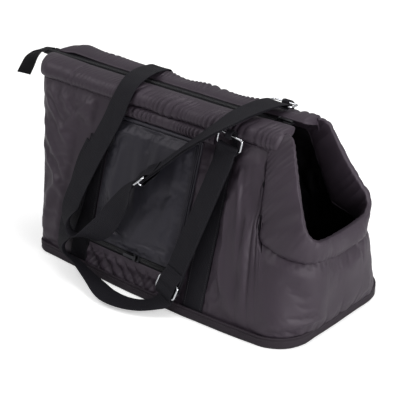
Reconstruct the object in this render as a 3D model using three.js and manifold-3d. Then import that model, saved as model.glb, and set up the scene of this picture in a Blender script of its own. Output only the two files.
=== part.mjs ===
// A soft pet carrier bag: a long padded holdall with a zipped top, an open front end with
// a padded collar for the animal's head, a zipped side pocket and two webbing handles.
//
// Millimetres. +X runs to the open front end, -Y is the pocket side ("near"), +Z is up.
// The origin is the centre of the base, and the base rests on Z = 0.

import * as THREE from 'three';
import { mergeVertices } from 'three/addons/utils/BufferGeometryUtils.js';
import Module from 'manifold-3d';

const wasm = await Module();
wasm.setup();

const NEAR = -1;
const FAR = 1;
const GAP = 0.4;               // clearance left between two pieces that touch on the real bag

// ---- driving dimensions ----------------------------------------------------------------
const REAR_X = -260;           // rear edge of the base
const FRONT_X = 262;           // face of the front wall
const CORNER_R = 58;           // rounded front corners, in plan
const BASE_HALF = 128;         // half width of the base, before its slight belly
const BASE_BELLY = 12;
const BELLY_X = 60;            // where the belly is widest
const BELLY_REACH = 520;       // half a wave of the belly's curve along X
const SEAM_Z = 274;            // seam between the side panels and the padded top rolls
const SEAM_HALF = 50;          // half width of the bag at that seam
const REAR_LEAN = 50;          // how far the rear panel leans back by the time it meets the seam
const BINDING_H = 16;          // height of the band sewn round the base
const WALL = 3;                // padded fabric of the walls
const FOOT_Z = BINDING_H + 1.6; // lower edge of the walls, just clear of the binding

const MOUTH_X = 160;           // where the side seam ends and the head opening begins
const MOUTH_LOW_Z = 122;       // top of the front wall, in the middle of the opening
const SPLIT_X = 84;            // joint between side panel and front panel, under the webbing

const ZIP_Z = 297;             // height of the top zip
const ZIP_FRONT_X = 140;
const ZIP_REAR_X = -340;
const ROLL_REAR_X = -318;
const ROLL_FRONT_X = 184;

const WEB_W = 38;              // webbing width
const WEB_T = 1.6;             // webbing thickness
const FRONT_WEB_X = 84;
const REAR_WEB_X = -164;
const REAR_WEB_TOP = 212;
const WIRE_R = 1.6;            // wire of the rings and strap adjusters

// ---- materials ---------------------------------------------------------------------------
const nylon = { color: 0x2c292e, roughness: 0.55, metalness: 0 };
const pocketNylon = { color: 0x22242c, roughness: 0.5, metalness: 0 };
const webbing = { color: 0x17171a, roughness: 0.8, metalness: 0 };
const lining = { color: 0x0d0d0f, roughness: 0.9, metalness: 0 };
const nickel = { color: 0xc9cbd0, roughness: 0.22, metalness: 1 };
const zipTape = { color: 0x141417, roughness: 0.7, metalness: 0 };
const board = { color: 0x6f6557, roughness: 0.9, metalness: 0 };

const bag = new THREE.Group();

function addTo(group, name, geometry, look) {
  const mesh = new THREE.Mesh(geometry, new THREE.MeshStandardMaterial(look));
  mesh.name = name;
  group.add(mesh);
  return mesh;
}

const add = (name, geometry, look) => addTo(bag, name, geometry, look);

// ---- helpers -----------------------------------------------------------------------------
const lerp = (a, b, t) => a + (b - a) * t;
const clamp01 = (t) => Math.min(1, Math.max(0, t));
const smooth = (t) => clamp01(t) ** 2 * (3 - 2 * clamp01(t));
const vec = (x, y, z) => new THREE.Vector3(x, y, z);

// Weld a geometry into one closed body with only positions.
function weld(geometry) {
  geometry.deleteAttribute('uv');
  geometry.deleteAttribute('normal');
  const welded = mergeVertices(geometry, 1e-4);
  welded.computeVertexNormals();
  return welded;
}

// Move every vertex of a geometry to place(x, y, z), which returns a Vector3.
function warp(geometry, place) {
  const at = geometry.attributes.position;
  for (let i = 0; i < at.count; i += 1) {
    const p = place(at.getX(i), at.getY(i), at.getZ(i));
    at.setXYZ(i, p.x, p.y, p.z);
  }
  return weld(geometry);
}

// A sheet over surface(u, v), u and v in 0..1, from depth `inner` to depth `outer` along
// the surface's own normal.
function sheet(surface, nu, nv, inner, outer) {
  const step = 1e-3;
  return warp(new THREE.BoxGeometry(1, 1, 1, nu, nv, 1), (x, y, z) => {
    const u = x + 0.5;
    const v = y + 0.5;
    const alongU = surface(u + step, v).sub(surface(u - step, v));
    const alongV = surface(u, v + step).sub(surface(u, v - step));
    const normal = alongU.cross(alongV).normalize();
    return surface(u, v).addScaledVector(normal, z > 0 ? outer : inner);
  });
}

// A flat strap through stations { at, across }: the middle line passes through each `at`,
// and `across` is the direction of the strap's width there.
function strap(stations, width, thickness, perSpan) {
  const line = new THREE.CatmullRomCurve3(stations.map((s) => s.at), false, 'centripetal');
  const spans = stations.length - 1;
  return warp(new THREE.BoxGeometry(1, 1, 1, 1, spans * perSpan, 1), (x, y, z) => {
    const t = y + 0.5;
    const k = Math.min(spans - 1, Math.floor(t * spans));
    const along = line.getTangent(t);
    const across = stations[k].across.clone().lerp(stations[k + 1].across, t * spans - k);
    across.addScaledVector(along, -across.dot(along)).normalize();
    const normal = across.clone().cross(along);
    return line.getPoint(t)
      .addScaledVector(across, x * width)
      .addScaledVector(normal, z * thickness);
  });
}

// A ring of round wire bent into a rounded rectangle in the plane of axes a and b.
function wireFrame(centre, a, b, halfA, halfB, wireRadius) {
  const sides = 6;
  const steps = 40;
  const ring = new THREE.TorusGeometry(1, 0.1, sides, steps);
  const uv = ring.attributes.uv;
  const at = ring.attributes.position;
  const out = a.clone().cross(b).normalize();
  const squareness = 0.45;
  for (let i = 0; i < at.count; i += 1) {
    const turn = ((Math.round(uv.getX(i) * steps) % steps) / steps) * 2 * Math.PI;
    const roll = ((Math.round(uv.getY(i) * sides) % sides) / sides) * 2 * Math.PI;
    const c = Math.cos(turn);
    const s = Math.sin(turn);
    const pa = Math.sign(c) * Math.abs(c) ** squareness;
    const pb = Math.sign(s) * Math.abs(s) ** squareness;
    const away = a.clone().multiplyScalar(c / halfA ** 0.5)
      .addScaledVector(b, s / halfB ** 0.5).normalize();
    const p = centre.clone()
      .addScaledVector(a, pa * halfA)
      .addScaledVector(b, pb * halfB)
      .addScaledVector(away, Math.cos(roll) * wireRadius)
      .addScaledVector(out, Math.sin(roll) * wireRadius);
    at.setXYZ(i, p.x, p.y, p.z);
  }
  return weld(ring);
}

function toSolid(geometry) {
  return new wasm.Manifold(new wasm.Mesh({
    numProp: 3,
    vertProperties: Float32Array.from(geometry.attributes.position.array),
    triVerts: Uint32Array.from(geometry.index.array),
  }));
}

function union(...geometries) {
  const mesh = geometries.map(toSolid).reduce((sum, solid) => sum.add(solid)).getMesh();
  const geometry = new THREE.BufferGeometry();
  geometry.setAttribute('position', new THREE.BufferAttribute(mesh.vertProperties, 3));
  geometry.setIndex(new THREE.BufferAttribute(mesh.triVerts, 1));
  geometry.computeVertexNormals();
  return geometry;
}

function block(x0, x1, y0, y1, z0, z1) {
  const geometry = new THREE.BoxGeometry(x1 - x0, y1 - y0, z1 - z0);
  geometry.translate((x0 + x1) / 2, (y0 + y1) / 2, (z0 + z1) / 2);
  return weld(geometry);
}

// ---- the bag's outer surface -------------------------------------------------------------
const baseHalf = (x) => BASE_HALF + BASE_BELLY * Math.cos(((x - BELLY_X) / BELLY_REACH) * Math.PI);
const halfWidth = (x, z) => lerp(baseHalf(x), SEAM_HALF, z / SEAM_Z);
const rearX = (z) => REAR_X - REAR_LEAN * (z / SEAM_Z);

// A point on a side wall, `off` mm outside it.
function sideAt(x, z, side, off = 0) {
  const slope = (baseHalf(x) - SEAM_HALF) / SEAM_Z;
  const length = Math.hypot(1, slope);
  return vec(x, side * (halfWidth(x, z) + off / length), z + (off * slope) / length);
}

// Height of the wall's top edge at X: level at the seam, steeply down the side of the head
// opening, then gently down to its front corner.
const MOUTH_CORNER_X = MOUTH_X + 22;
const MOUTH_CORNER_Z = 150;

function wallTop(x) {
  const steep = lerp(SEAM_Z, MOUTH_CORNER_Z, smooth((x - MOUTH_X) / (MOUTH_CORNER_X - MOUTH_X)));
  const gentle = clamp01((x - MOUTH_CORNER_X) / (FRONT_X - MOUTH_CORNER_X)) ** 0.7;
  return steep - gentle * (MOUTH_CORNER_Z - MOUTH_LOW_Z - 6);
}

// The wall round the front: q runs -1 (near side, at the split) .. 0 (front middle) .. 1 (far).
function frontWallAt(q, v) {
  const side = q < 0 ? NEAR : FAR;
  const k = Math.abs(q);
  const cornerStart = FRONT_X - CORNER_R;
  let x;
  let cornerTurn = 0;
  let straight = 0;
  if (k > 0.5) {
    x = lerp(cornerStart, SPLIT_X + GAP / 2, (k - 0.5) / 0.5);
  } else {
    cornerTurn = Math.min(1, (0.5 - k) / 0.25);
    x = cornerStart + CORNER_R * Math.sin((cornerTurn * Math.PI) / 2);
    straight = clamp01((0.25 - k) / 0.25);
  }
  const dip = 6 * straight;
  const top = wallTop(x) - dip - GAP;
  const z = lerp(FOOT_Z, top, v);
  let y = halfWidth(Math.min(x, cornerStart), z);
  if (k <= 0.5) {
    y = y - CORNER_R + CORNER_R * Math.cos((cornerTurn * Math.PI) / 2);
    y = lerp(y, 0, straight);
  }
  return vec(x, side * y, z);
}

// ---- base -----------------------------------------------------------------------------------
function baseOutline(inset) {
  const outline = new THREE.Shape();
  const steps = 24;
  const cornerStart = FRONT_X - CORNER_R;
  const r = CORNER_R - inset;
  const rear = REAR_X + inset;
  const rearR = 16;
  outline.moveTo(rear + rearR, -(baseHalf(rear) - inset));
  for (let i = 1; i <= steps; i += 1) {
    const x = lerp(rear + rearR, cornerStart, i / steps);
    outline.lineTo(x, -(baseHalf(x) - inset));
  }
  const cy = baseHalf(cornerStart) - CORNER_R;
  outline.absarc(cornerStart, -cy, r, -Math.PI / 2, 0, false);
  outline.absarc(cornerStart, cy, r, 0, Math.PI / 2, false);
  for (let i = steps; i >= 0; i -= 1) {
    const x = lerp(rear + rearR, cornerStart, i / steps);
    outline.lineTo(x, baseHalf(x) - inset);
  }
  outline.absarc(rear + rearR, baseHalf(rear) - inset - rearR, rearR, Math.PI / 2, Math.PI, false);
  outline.absarc(rear + rearR, -(baseHalf(rear) - inset - rearR), rearR, Math.PI, 1.5 * Math.PI, false);
  return outline;
}

function slab(outline, z0, z1) {
  const flat = { depth: z1 - z0, bevelEnabled: false, curveSegments: 10 };
  const geometry = new THREE.ExtrudeGeometry(outline, flat);
  geometry.translate(0, 0, z0);
  return weld(geometry);
}

function addBase() {
  const band = baseOutline(-1);
  band.holes.push(new THREE.Path(baseOutline(3).getPoints(10)));
  add('base_binding', slab(band, 0, BINDING_H), webbing);
  add('base_panel', slab(baseOutline(3 + GAP), 0, 2.4), nylon);
  add('base_board', slab(baseOutline(6), 2.4 + GAP, 5.6), board);
  add('base_cushion', slab(baseOutline(14), 5.6 + GAP, 26), lining);
}

// ---- walls ----------------------------------------------------------------------------------
function addSidePanel(name, side) {
  const surface = (u, v) => {
    const z = lerp(FOOT_Z, SEAM_Z - GAP, v);
    const start = rearX(z) + WALL + GAP;
    const x = lerp(start, SPLIT_X - GAP / 2, side === NEAR ? u : 1 - u);
    return sideAt(x, z, side);
  };
  add(name, sheet(surface, 24, 12, -WALL, 0), nylon);
}

// The rear panel fills the whole back, then steps in and runs on up between the rolls.
function addRearPanel() {
  const rows = 25;
  const shoulder = rows - 3;
  const upperRows = [[SEAM_Z - 0.1, 44], [284, 36], [293, 12]];
  const surface = (u, v) => {
    const row = v * rows;
    let z = lerp(FOOT_Z, SEAM_Z - GAP, row / shoulder);
    let half = halfWidth(rearX(z), z) - 0.2;
    if (row > shoulder) {
      const k = Math.min(upperRows.length - 1, Math.floor(row - shoulder));
      const [z0, half0] = k > 0 ? upperRows[k - 1] : [SEAM_Z - GAP, SEAM_HALF];
      const [z1, half1] = upperRows[k];
      z = lerp(z0, z1, row - shoulder - k);
      half = lerp(half0, half1, row - shoulder - k);
    }
    return vec(rearX(z), lerp(1, -1, u) * half, z);
  };
  add('rear_panel', sheet(surface, 10, rows, -WALL, 0), nylon);
}

function addFrontPanel() {
  const surface = (u, v) => frontWallAt(lerp(-1, 1, u), v);
  add('front_panel', sheet(surface, 48, 8, -WALL, 0), nylon);
}

// ---- padded collar round the head opening -----------------------------------------------
const COLLAR_T = 11;

// A line round the opening from the near roll to the far one, from the points of its near half.
function mouthLine(half, middle) {
  const other = half.map((p) => vec(p.x, -p.y, p.z)).reverse();
  return new THREE.CatmullRomCurve3([...half, middle, ...other], false, 'centripetal');
}

function addCollar() {
  const seam = mouthLine([
    vec(183, -50, 272), vec(181, -69, 215), vec(190, -88, 163), vec(208, -97, 148),
    vec(240, -93, 139), vec(262, -58, 131),
  ], vec(263, 0, 125));
  const rim = mouthLine([
    vec(199, -46, 287), vec(213, -57, 248), vec(232, -69, 210), vec(248, -77, 182),
    vec(257, -68, 165), vec(258, -38, 159),
  ], vec(257, 0, 157));
  const surface = (u, v) => {
    const bulge = vec(1, 0, 0).multiplyScalar(6 * Math.sin(v * Math.PI));
    return seam.getPoint(clamp01(u)).lerp(rim.getPoint(clamp01(u)), v).add(bulge);
  };
  add('collar', sheet(surface, 44, 5, -COLLAR_T, 0), nylon);
}

// ---- padded rolls along the top ---------------------------------------------------------
const rollRise = (x) => 4 * smooth((x - 40) / 130) + 3 * smooth((-200 - x) / 120);

function addRoll(name, side) {
  const profile = new THREE.Shape();
  profile.moveTo(50, SEAM_Z + GAP);
  profile.quadraticCurveTo(59, 280, 56, 289);
  profile.quadraticCurveTo(50, 301, 38, 301);
  profile.quadraticCurveTo(24, 302, 14, 299);
  profile.lineTo(13, 295);
  profile.quadraticCurveTo(30, 292, 40, 284);
  profile.quadraticCurveTo(44, 278, 46, SEAM_Z + GAP);
  const length = ROLL_FRONT_X - ROLL_REAR_X;
  const cut = { depth: length, steps: 16, bevelEnabled: false, curveSegments: 6 };
  const roll = warp(new THREE.ExtrudeGeometry(profile, cut), (y, z, along) => {
    const x = ROLL_REAR_X + (side === FAR ? along : length - along);
    return vec(x, side * y, z + rollRise(x) * clamp01((z - SEAM_Z) / 20));
  });
  add(name, roll, nylon);
}

// ---- top zip --------------------------------------------------------------------------------
const SLIT = 1;                // half of the slit that the slider's post runs in

function tapeProfile(width, coil) {
  const profile = new THREE.Shape();
  profile.moveTo(SLIT, -coil);
  profile.lineTo(SLIT + 2.4, -coil);
  profile.lineTo(SLIT + 2.4, -0.5);
  profile.lineTo(width, -0.5);
  profile.lineTo(width, 0.5);
  profile.lineTo(SLIT + 2.4, 0.5);
  profile.lineTo(SLIT + 2.4, coil);
  profile.lineTo(SLIT, coil);
  return profile;
}

// Both tapes of a zip from local X x0 to x1; local Y points to the far or upper tape.
function addTapes(holder, names, x0, x1) {
  const length = x1 - x0;
  const cut = { depth: length, steps: 1, bevelEnabled: false };
  names.forEach((name, i) => {
    const side = i === 0 ? NEAR : FAR;
    const tape = warp(new THREE.ExtrudeGeometry(tapeProfile(12, 1.2), cut), (y, z, along) => (
      vec(x0 + (side === FAR ? along : length - along), side * y, z)
    ));
    addTo(holder, name, tape, zipTape);
  });
}

// A slider in its own frame: it runs along local X, local Z points away from the bag.
const SLIDER_L = 13;
const SLIDER_HALF = 5;
const PLATE_Z = 1.6;           // underside of its top plate
const BAR_Z = 6.2;             // height of the cross bar that the pull hangs on

function sliderGeometry() {
  const profile = new THREE.Shape();
  const top = PLATE_Z + 1.5;
  const corners = [
    [-SLIDER_HALF, -top], [SLIDER_HALF, -top], [SLIDER_HALF, -PLATE_Z], [0.6, -PLATE_Z],
    [0.6, PLATE_Z], [SLIDER_HALF, PLATE_Z], [SLIDER_HALF, top], [-SLIDER_HALF, top],
    [-SLIDER_HALF, PLATE_Z], [-0.6, PLATE_Z], [-0.6, -PLATE_Z], [-SLIDER_HALF, -PLATE_Z],
  ];
  profile.setFromPoints(corners.map(([y, z]) => new THREE.Vector2(y, z)));
  const cut = { depth: SLIDER_L, bevelEnabled: false };
  const body = warp(new THREE.ExtrudeGeometry(profile, cut), (y, z, along) => (
    vec(along - SLIDER_L / 2, y, z)
  ));
  const bar = new THREE.CylinderGeometry(0.9, 0.9, 8.4, 12);
  const ears = [NEAR, FAR].map((side) => (
    block(-1.5, 1.5, side < 0 ? -4.2 : 3, side < 0 ? -3 : 4.2, top - 0.3, BAR_Z + 1)
  ));
  bar.translate(0, 0, BAR_Z);
  return union(body, weld(bar), ...ears);
}

const PULL_L = 24;

// The pull in the slider's frame, lying back along -X from the cross bar.
function pullGeometry() {
  const knuckle = 2.1;
  const profile = new THREE.Shape();
  profile.absarc(0, 0, knuckle, -0.75 * Math.PI, 0.75 * Math.PI, false);
  profile.lineTo(-PULL_L, 0.9);
  profile.lineTo(-PULL_L, -0.9);
  const bore = new THREE.Path();
  bore.absarc(0, 0, 1.3, 0, 2 * Math.PI, true);
  profile.holes.push(bore);
  const width = 5;
  const cut = { depth: width, bevelEnabled: false, curveSegments: 12 };
  return warp(new THREE.ExtrudeGeometry(profile, cut), (x, z, along) => (
    vec(x, width / 2 - along, z)
  ));
}

// `turn` is the direction the pull lies in: 0 back along -X, half a turn forward along +X.
function addSlider(holder, name, pullName, x, turn) {
  addTo(holder, name, sliderGeometry(), nickel).position.x = x;
  const pull = addTo(holder, pullName, pullGeometry(), nickel);
  pull.position.set(x, 0, BAR_Z);
  pull.rotation.z = turn;
}

function addTopZip() {
  const holder = new THREE.Group();
  holder.position.z = ZIP_Z;
  addTapes(holder, ['zip_tape_near', 'zip_tape_far'], ZIP_REAR_X, ZIP_FRONT_X + 20);
  addSlider(holder, 'zip_slider', 'zip_pull', ZIP_FRONT_X, Math.PI);
  bag.add(holder);
}

function addZipTail() {
  const across = vec(0, 1, 0);
  const tail = strap([
    { at: vec(ZIP_REAR_X - GAP, 0, ZIP_Z), across },
    { at: vec(-362, 0, 293), across },
    { at: vec(-384, 0, 276), across },
    { at: vec(-398, 0, 256), across },
    { at: vec(-410, 0, 240), across },
  ], 24, 2.4, 3);
  add('zip_tail', tail, zipTape);
}

// ---- sewn webbing ------------------------------------------------------------------------
function addSewnWebbing(name, side, centreX, topZ) {
  const surface = (u, v) => {
    const x = centreX + (side === NEAR ? 1 : -1) * lerp(-WEB_W / 2, WEB_W / 2, u);
    return sideAt(x, lerp(FOOT_Z, topZ, v), side);
  };
  add(name, sheet(surface, 2, 12, GAP, GAP + WEB_T), webbing);
}

// ---- side pocket on the near side -----------------------------------------------------------
const POCKET_X0 = -142;
const POCKET_X1 = 36;
const POCKET_ZIP_Z = 56;
const POCKET_TOP_Z = 248;

function nearPatch(x0, x1, z0, z1, nu, nv, inner, outer) {
  const surface = (u, v) => sideAt(lerp(x0, x1, u), lerp(z0, z1, v), NEAR);
  return sheet(surface, nu, nv, inner, outer);
}

function addPocket() {
  const zipLow = POCKET_ZIP_Z - 13;
  const zipHigh = POCKET_ZIP_Z + 13;
  const face = nearPatch(POCKET_X0, POCKET_X1, zipHigh + GAP, POCKET_TOP_Z, 12, 10, GAP, 3);
  add('pocket_panel', face, pocketNylon);
  const foot = nearPatch(POCKET_X0, POCKET_X1, FOOT_Z, zipLow - GAP, 12, 2, GAP, 3);
  add('pocket_foot', foot, nylon);
  const welt = nearPatch(POCKET_X0, POCKET_X1, POCKET_TOP_Z + GAP, POCKET_TOP_Z + 6, 12, 1, GAP, 4);
  add('pocket_welt', welt, pocketNylon);
  const gussetX = POCKET_X1 + GAP;
  const gusset = nearPatch(gussetX, gussetX + 7, FOOT_Z, POCKET_TOP_Z + 6, 1, 10, GAP, 4);
  add('pocket_gusset', gusset, pocketNylon);
  const header = nearPatch(POCKET_X0, 60, POCKET_TOP_Z + 6 + GAP, SEAM_Z - 2, 12, 2, GAP, 5);
  add('pocket_header', header, nylon);
}

// The pocket's zip runs straight from one side of the pocket to the other, a little off the
// wall. Its own frame has X along the zip, Y up the wall and Z outwards.
const POCKET_ZIP_OFF = 5.2;
const POCKET_SLIDER_X = -38;

function addPocketZip() {
  const start = sideAt(POCKET_X0, POCKET_ZIP_Z, NEAR, POCKET_ZIP_OFF);
  const end = sideAt(POCKET_X1, POCKET_ZIP_Z, NEAR, POCKET_ZIP_OFF);
  const above = sideAt(POCKET_X0, POCKET_ZIP_Z + 1, NEAR, POCKET_ZIP_OFF);
  const along = end.clone().sub(start);
  const length = along.length();
  along.normalize();
  const up = above.sub(start);
  up.addScaledVector(along, -up.dot(along)).normalize();
  const out = along.clone().cross(up);
  const holder = new THREE.Group();
  holder.quaternion.setFromRotationMatrix(new THREE.Matrix4().makeBasis(along, up, out));
  holder.position.copy(start);
  addTapes(holder, ['pocket_tape_lower', 'pocket_tape_upper'], 0, length);
  addSlider(holder, 'pocket_slider', 'pocket_pull', POCKET_SLIDER_X - POCKET_X0, 0);
  bag.add(holder);
}

// ---- rings, handles and strap adjusters -----------------------------------------------------
const X = vec(1, 0, 0);

// The far ring lies over the far roll, and the near one hangs outside the near roll.
const NEAR_BAR = vec(101, -65, 286);      // upper bar of the near ring, inside its tab
const FAR_BAR = vec(118, 46, 309);
const NEAR_HANG = vec(-0.16, -0.1, -0.98).normalize();
const FAR_HANG = vec(0, -0.99, 0.12).normalize();
const RING_HALF_W = 22.5;
const RING_HALF_H = 10;
const STRAP_GAP = 2.4;                   // from one layer of a doubled strap to the next

const acrossOf = (along) => X.clone().addScaledVector(along, -X.dot(along)).normalize();

function addRing(name, bar, hang) {
  const centre = bar.clone().addScaledVector(hang, RING_HALF_H);
  const ring = wireFrame(centre, acrossOf(hang), hang, RING_HALF_W, RING_HALF_H, WIRE_R);
  add(name, ring, nickel);
}

// A strap turns round a ring's lower bar: it comes up inside, over the bar and down outside.
function turnRoundBar(bar, hang, outward) {
  const low = bar.clone().addScaledVector(hang, 2 * RING_HALF_H);
  const loop = WIRE_R + WEB_T / 2 + 1.5;
  const across = acrossOf(hang);
  const diagonal = loop * Math.SQRT1_2;
  const at = (down, away) => ({
    at: low.clone().addScaledVector(hang, down).addScaledVector(outward, away),
    across,
  });
  return [
    at(2, -loop), at(-diagonal, -diagonal), at(-loop, 0), at(-diagonal, diagonal), at(2, loop),
  ];
}

// The stations of the strap's returning layer, STRAP_GAP nearer to the bag, in reverse.
function layerBehind(stations) {
  return stations.map((station, i) => {
    const next = stations[Math.min(i + 1, stations.length - 1)].at;
    const before = stations[Math.max(i - 1, 0)].at;
    const along = next.clone().sub(before).normalize();
    const inwards = along.cross(station.across).normalize();
    return {
      at: station.at.clone().addScaledVector(inwards, -STRAP_GAP),
      across: station.across,
    };
  }).reverse();
}

const station = (x, y, z, ax, ay, az) => ({ at: vec(x, y, z), across: vec(ax, ay, az) });

// Stations spread evenly along a straight run, all with the same across vector.
function straightRun(from, to, across, count) {
  return Array.from({ length: count }, (_, i) => ({
    at: from.clone().lerp(to, i / (count - 1)), across,
  }));
}

// Front leg of the near handle, from its ring to its strap adjuster.
const nearLeg = straightRun(vec(97, -74, 257), vec(38, -148, 24), vec(1, -0.12, 0.1), 6);

// The rest of the near handle: down to the floor, along it, and up the rear webbing.
const nearLoop = [
  station(27, -157, 15, 0.85, -0.5, 0.1),
  station(11, -167, 10, 0.55, -0.8, 0.05),
  station(-14, -176, 8, 0.2, -0.98, 0.05),
  station(-52, -177, 8, 0, -1, 0.05),
  station(-96, -162, 12, 0.25, -0.95, 0.25),
  station(-140, -151, 24, 0.4, -0.85, 0.4),
  station(-181, -142, 36, 0.8, -0.5, 0.15),
  station(-193, -121, 62, 1, -0.1, 0.1),
  station(-189, -112, 92, 1, 0, 0),
  station(-177, -89, 172, 1, 0, 0.14),
  station(-168, -78.5, 201, 1, 0.03, 0.28),
];

// Front leg of the far handle: from its ring over both rolls, turning rearwards as it comes down
// the near side, where the strap stands out from the bag like a shelf.
const farLeg = [
  station(113, 12, 317, 0.97, -0.22, 0),
  station(106, -12, 315.5, 0.94, -0.34, 0),
  station(99, -36, 312, 0.88, -0.48, 0),
  station(92, -59, 306, 0.78, -0.62, 0),
  station(80, -74, 296, 0.64, -0.77, 0),
  station(58, -80, 278.5, 0.5, -0.87, 0),
  ...straightRun(vec(30, -83, 255), vec(-48, -114, 179), vec(0.38, -0.92, -0.02), 4),
];

const farLoop = [
  station(-63, -119, 158, 0.7, -0.55, -0.4),
  station(-79, -126, 130, 0.85, -0.1, -0.5),
  station(-101, -140, 94, 0.75, 0.4, -0.5),
  station(-134, -152, 74, 0.2, 0.9, -0.3),
  station(-166, -143, 82, -0.7, 0.6, -0.4),
  station(-181, -124, 104, -1, 0.1, 0),
  station(-165, -96, 172, -1, 0, -0.1),
  station(-133, -72, 250, -1, 0, -0.2),
  station(-122, -63, 283, -1, 0, -0.2),
  station(-119, -50, 302, -1, 0, -0.1),
  station(-123, -26, 310, -1, 0, 0),
  station(-130, 8, 310, -1, 0, 0),
  station(-135, 42, 304.5, -1, 0, 0),
];

// Where the far handle's rear end comes up the far side from its stitching.
const farEnd = [
  station(-136.5, 52, 300.5, -1, 0, 0),
  station(-138, 60, 289, -1, 0, 0),
  station(-144, 62, 268, -1, 0, 0),
  station(-164, 76, 209, -1, 0, 0),
];

// A strap adjuster: a wire frame over the strap, with its centre bar passing under it.
function adjusterGeometry(centre, along, across) {
  const out = along.clone().cross(across).normalize();
  const halfW = WEB_W / 2 + 3.6;
  const lift = 3.4;
  const centreBar = -(STRAP_GAP + WEB_T / 2 + 0.5 + WIRE_R);
  const raised = centre.clone().addScaledVector(out, lift);
  const frame = wireFrame(raised, across, along, halfW, 11, WIRE_R);
  const bend = [
    [-halfW, lift], [-halfW, centreBar * 0.6], [-halfW * 0.8, centreBar], [0, centreBar],
    [halfW * 0.8, centreBar], [halfW, centreBar * 0.6], [halfW, lift],
  ].map(([w, h]) => centre.clone().addScaledVector(across, w).addScaledVector(out, h));
  const path = new THREE.CatmullRomCurve3(bend, false, 'catmullrom', 0.2);
  const wire = new THREE.Shape().absarc(0, 0, WIRE_R * 0.9, 0, 2 * Math.PI, false);
  const bar = new THREE.ExtrudeGeometry(wire, { steps: 24, extrudePath: path, curveSegments: 4 });
  return union(frame, weld(bar));
}

function addAdjuster(name, leg, fromEnd) {
  const here = leg[leg.length - 1];
  const before = leg[leg.length - 2];
  const along = here.at.clone().sub(before.at).normalize();
  const across = here.across.clone();
  across.addScaledVector(along, -across.dot(along)).normalize();
  const centre = here.at.clone().addScaledVector(along, -fromEnd);
  add(name, adjusterGeometry(centre, along, across), nickel);
}

function addHandle(name, bar, hang, leg, loop) {
  const outward = acrossOf(hang).cross(hang).negate();
  const path = [...layerBehind(leg), ...turnRoundBar(bar, hang, outward), ...leg, ...loop];
  add(name, strap(path, WEB_W, WEB_T, 3), webbing);
}

// Webbing tabs that hold the rings: each is sewn to the side wall and passes round the ring's
// upper bar. The near one is a loose loop, because its ring also tips as the handle rises.
const TAB_W = 12;
const LOOSE_LOOP = 7.4;
const CLOSE_LOOP = 3;

function roundBar(bar, radius, side, degrees) {
  return degrees.map((a) => {
    const turn = THREE.MathUtils.degToRad(a);
    const away = vec(0, side * radius * Math.cos(turn), radius * Math.sin(turn));
    return { at: bar.clone().add(away), across: X.clone().multiplyScalar(-side) };
  });
}

function addTabs() {
  const sewn = (bar, side, z) => ({
    at: sideAt(bar.x, z, side, 2 * GAP + WEB_T / 2),
    across: X.clone().multiplyScalar(-side),
  });
  const nearTab = [
    sewn(NEAR_BAR, NEAR, 259),
    sewn(NEAR_BAR, NEAR, 267),
    ...roundBar(NEAR_BAR, LOOSE_LOOP, NEAR, [196, 150, 100, 50, 0, -30]),
  ];
  add('ring_tab_near', strap(nearTab, TAB_W, WEB_T, 4), webbing);
  const farTab = [
    sewn(FAR_BAR, FAR, 259),
    sewn(FAR_BAR, FAR, 267),
    { at: vec(FAR_BAR.x, 61, 284), across: X.clone().negate() },
    { at: vec(FAR_BAR.x, 57, 299), across: X.clone().negate() },
    ...roundBar(FAR_BAR, CLOSE_LOOP, FAR, [-70, -130, 180, 130, 80]),
    { at: vec(FAR_BAR.x, 53, 310), across: X.clone().negate() },
    { at: vec(FAR_BAR.x, 60, 304), across: X.clone().negate() },
  ];
  add('ring_tab_far', strap(farTab, TAB_W, WEB_T, 4), webbing);
}

function addHandles() {
  addTabs();
  addRing('ring_near', NEAR_BAR, NEAR_HANG);
  addRing('ring_far', FAR_BAR, FAR_HANG);
  addHandle('handle_near', NEAR_BAR, NEAR_HANG, nearLeg, nearLoop);
  addHandle('handle_far', FAR_BAR, FAR_HANG, farLeg, farLoop);
  add('handle_far_end', strap(farEnd, WEB_W, WEB_T, 4), webbing);
  addAdjuster('adjuster_near', nearLeg, 20);
  addAdjuster('adjuster_far', farLeg, 20);
}

addBase();
addSidePanel('side_panel_near', NEAR);
addSidePanel('side_panel_far', FAR);
addRearPanel();
addFrontPanel();
addCollar();
addRoll('top_roll_near', NEAR);
addRoll('top_roll_far', FAR);
addTopZip();
addZipTail();
addSewnWebbing('webbing_near_front', NEAR, FRONT_WEB_X, 256);
addSewnWebbing('webbing_near_rear', NEAR, REAR_WEB_X, REAR_WEB_TOP);
addSewnWebbing('webbing_far_front', FAR, FRONT_WEB_X, 256);
addSewnWebbing('webbing_far_rear', FAR, REAR_WEB_X, REAR_WEB_TOP);
addPocket();
addPocketZip();
addHandles();

export default bag;
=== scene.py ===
"""The looks of a soft pet carrier bag: padded nylon walls, ruched top rolls, a padded collar
round the head opening, webbing handles on wire rings and a zipped side pocket.

Lengths are millimetres in this script and become metres when a mesh is made. +X runs to the
open front end, -Y is the pocket side ("near"), +Z is up and the base rests on Z = 0.
"""

import math

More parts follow.
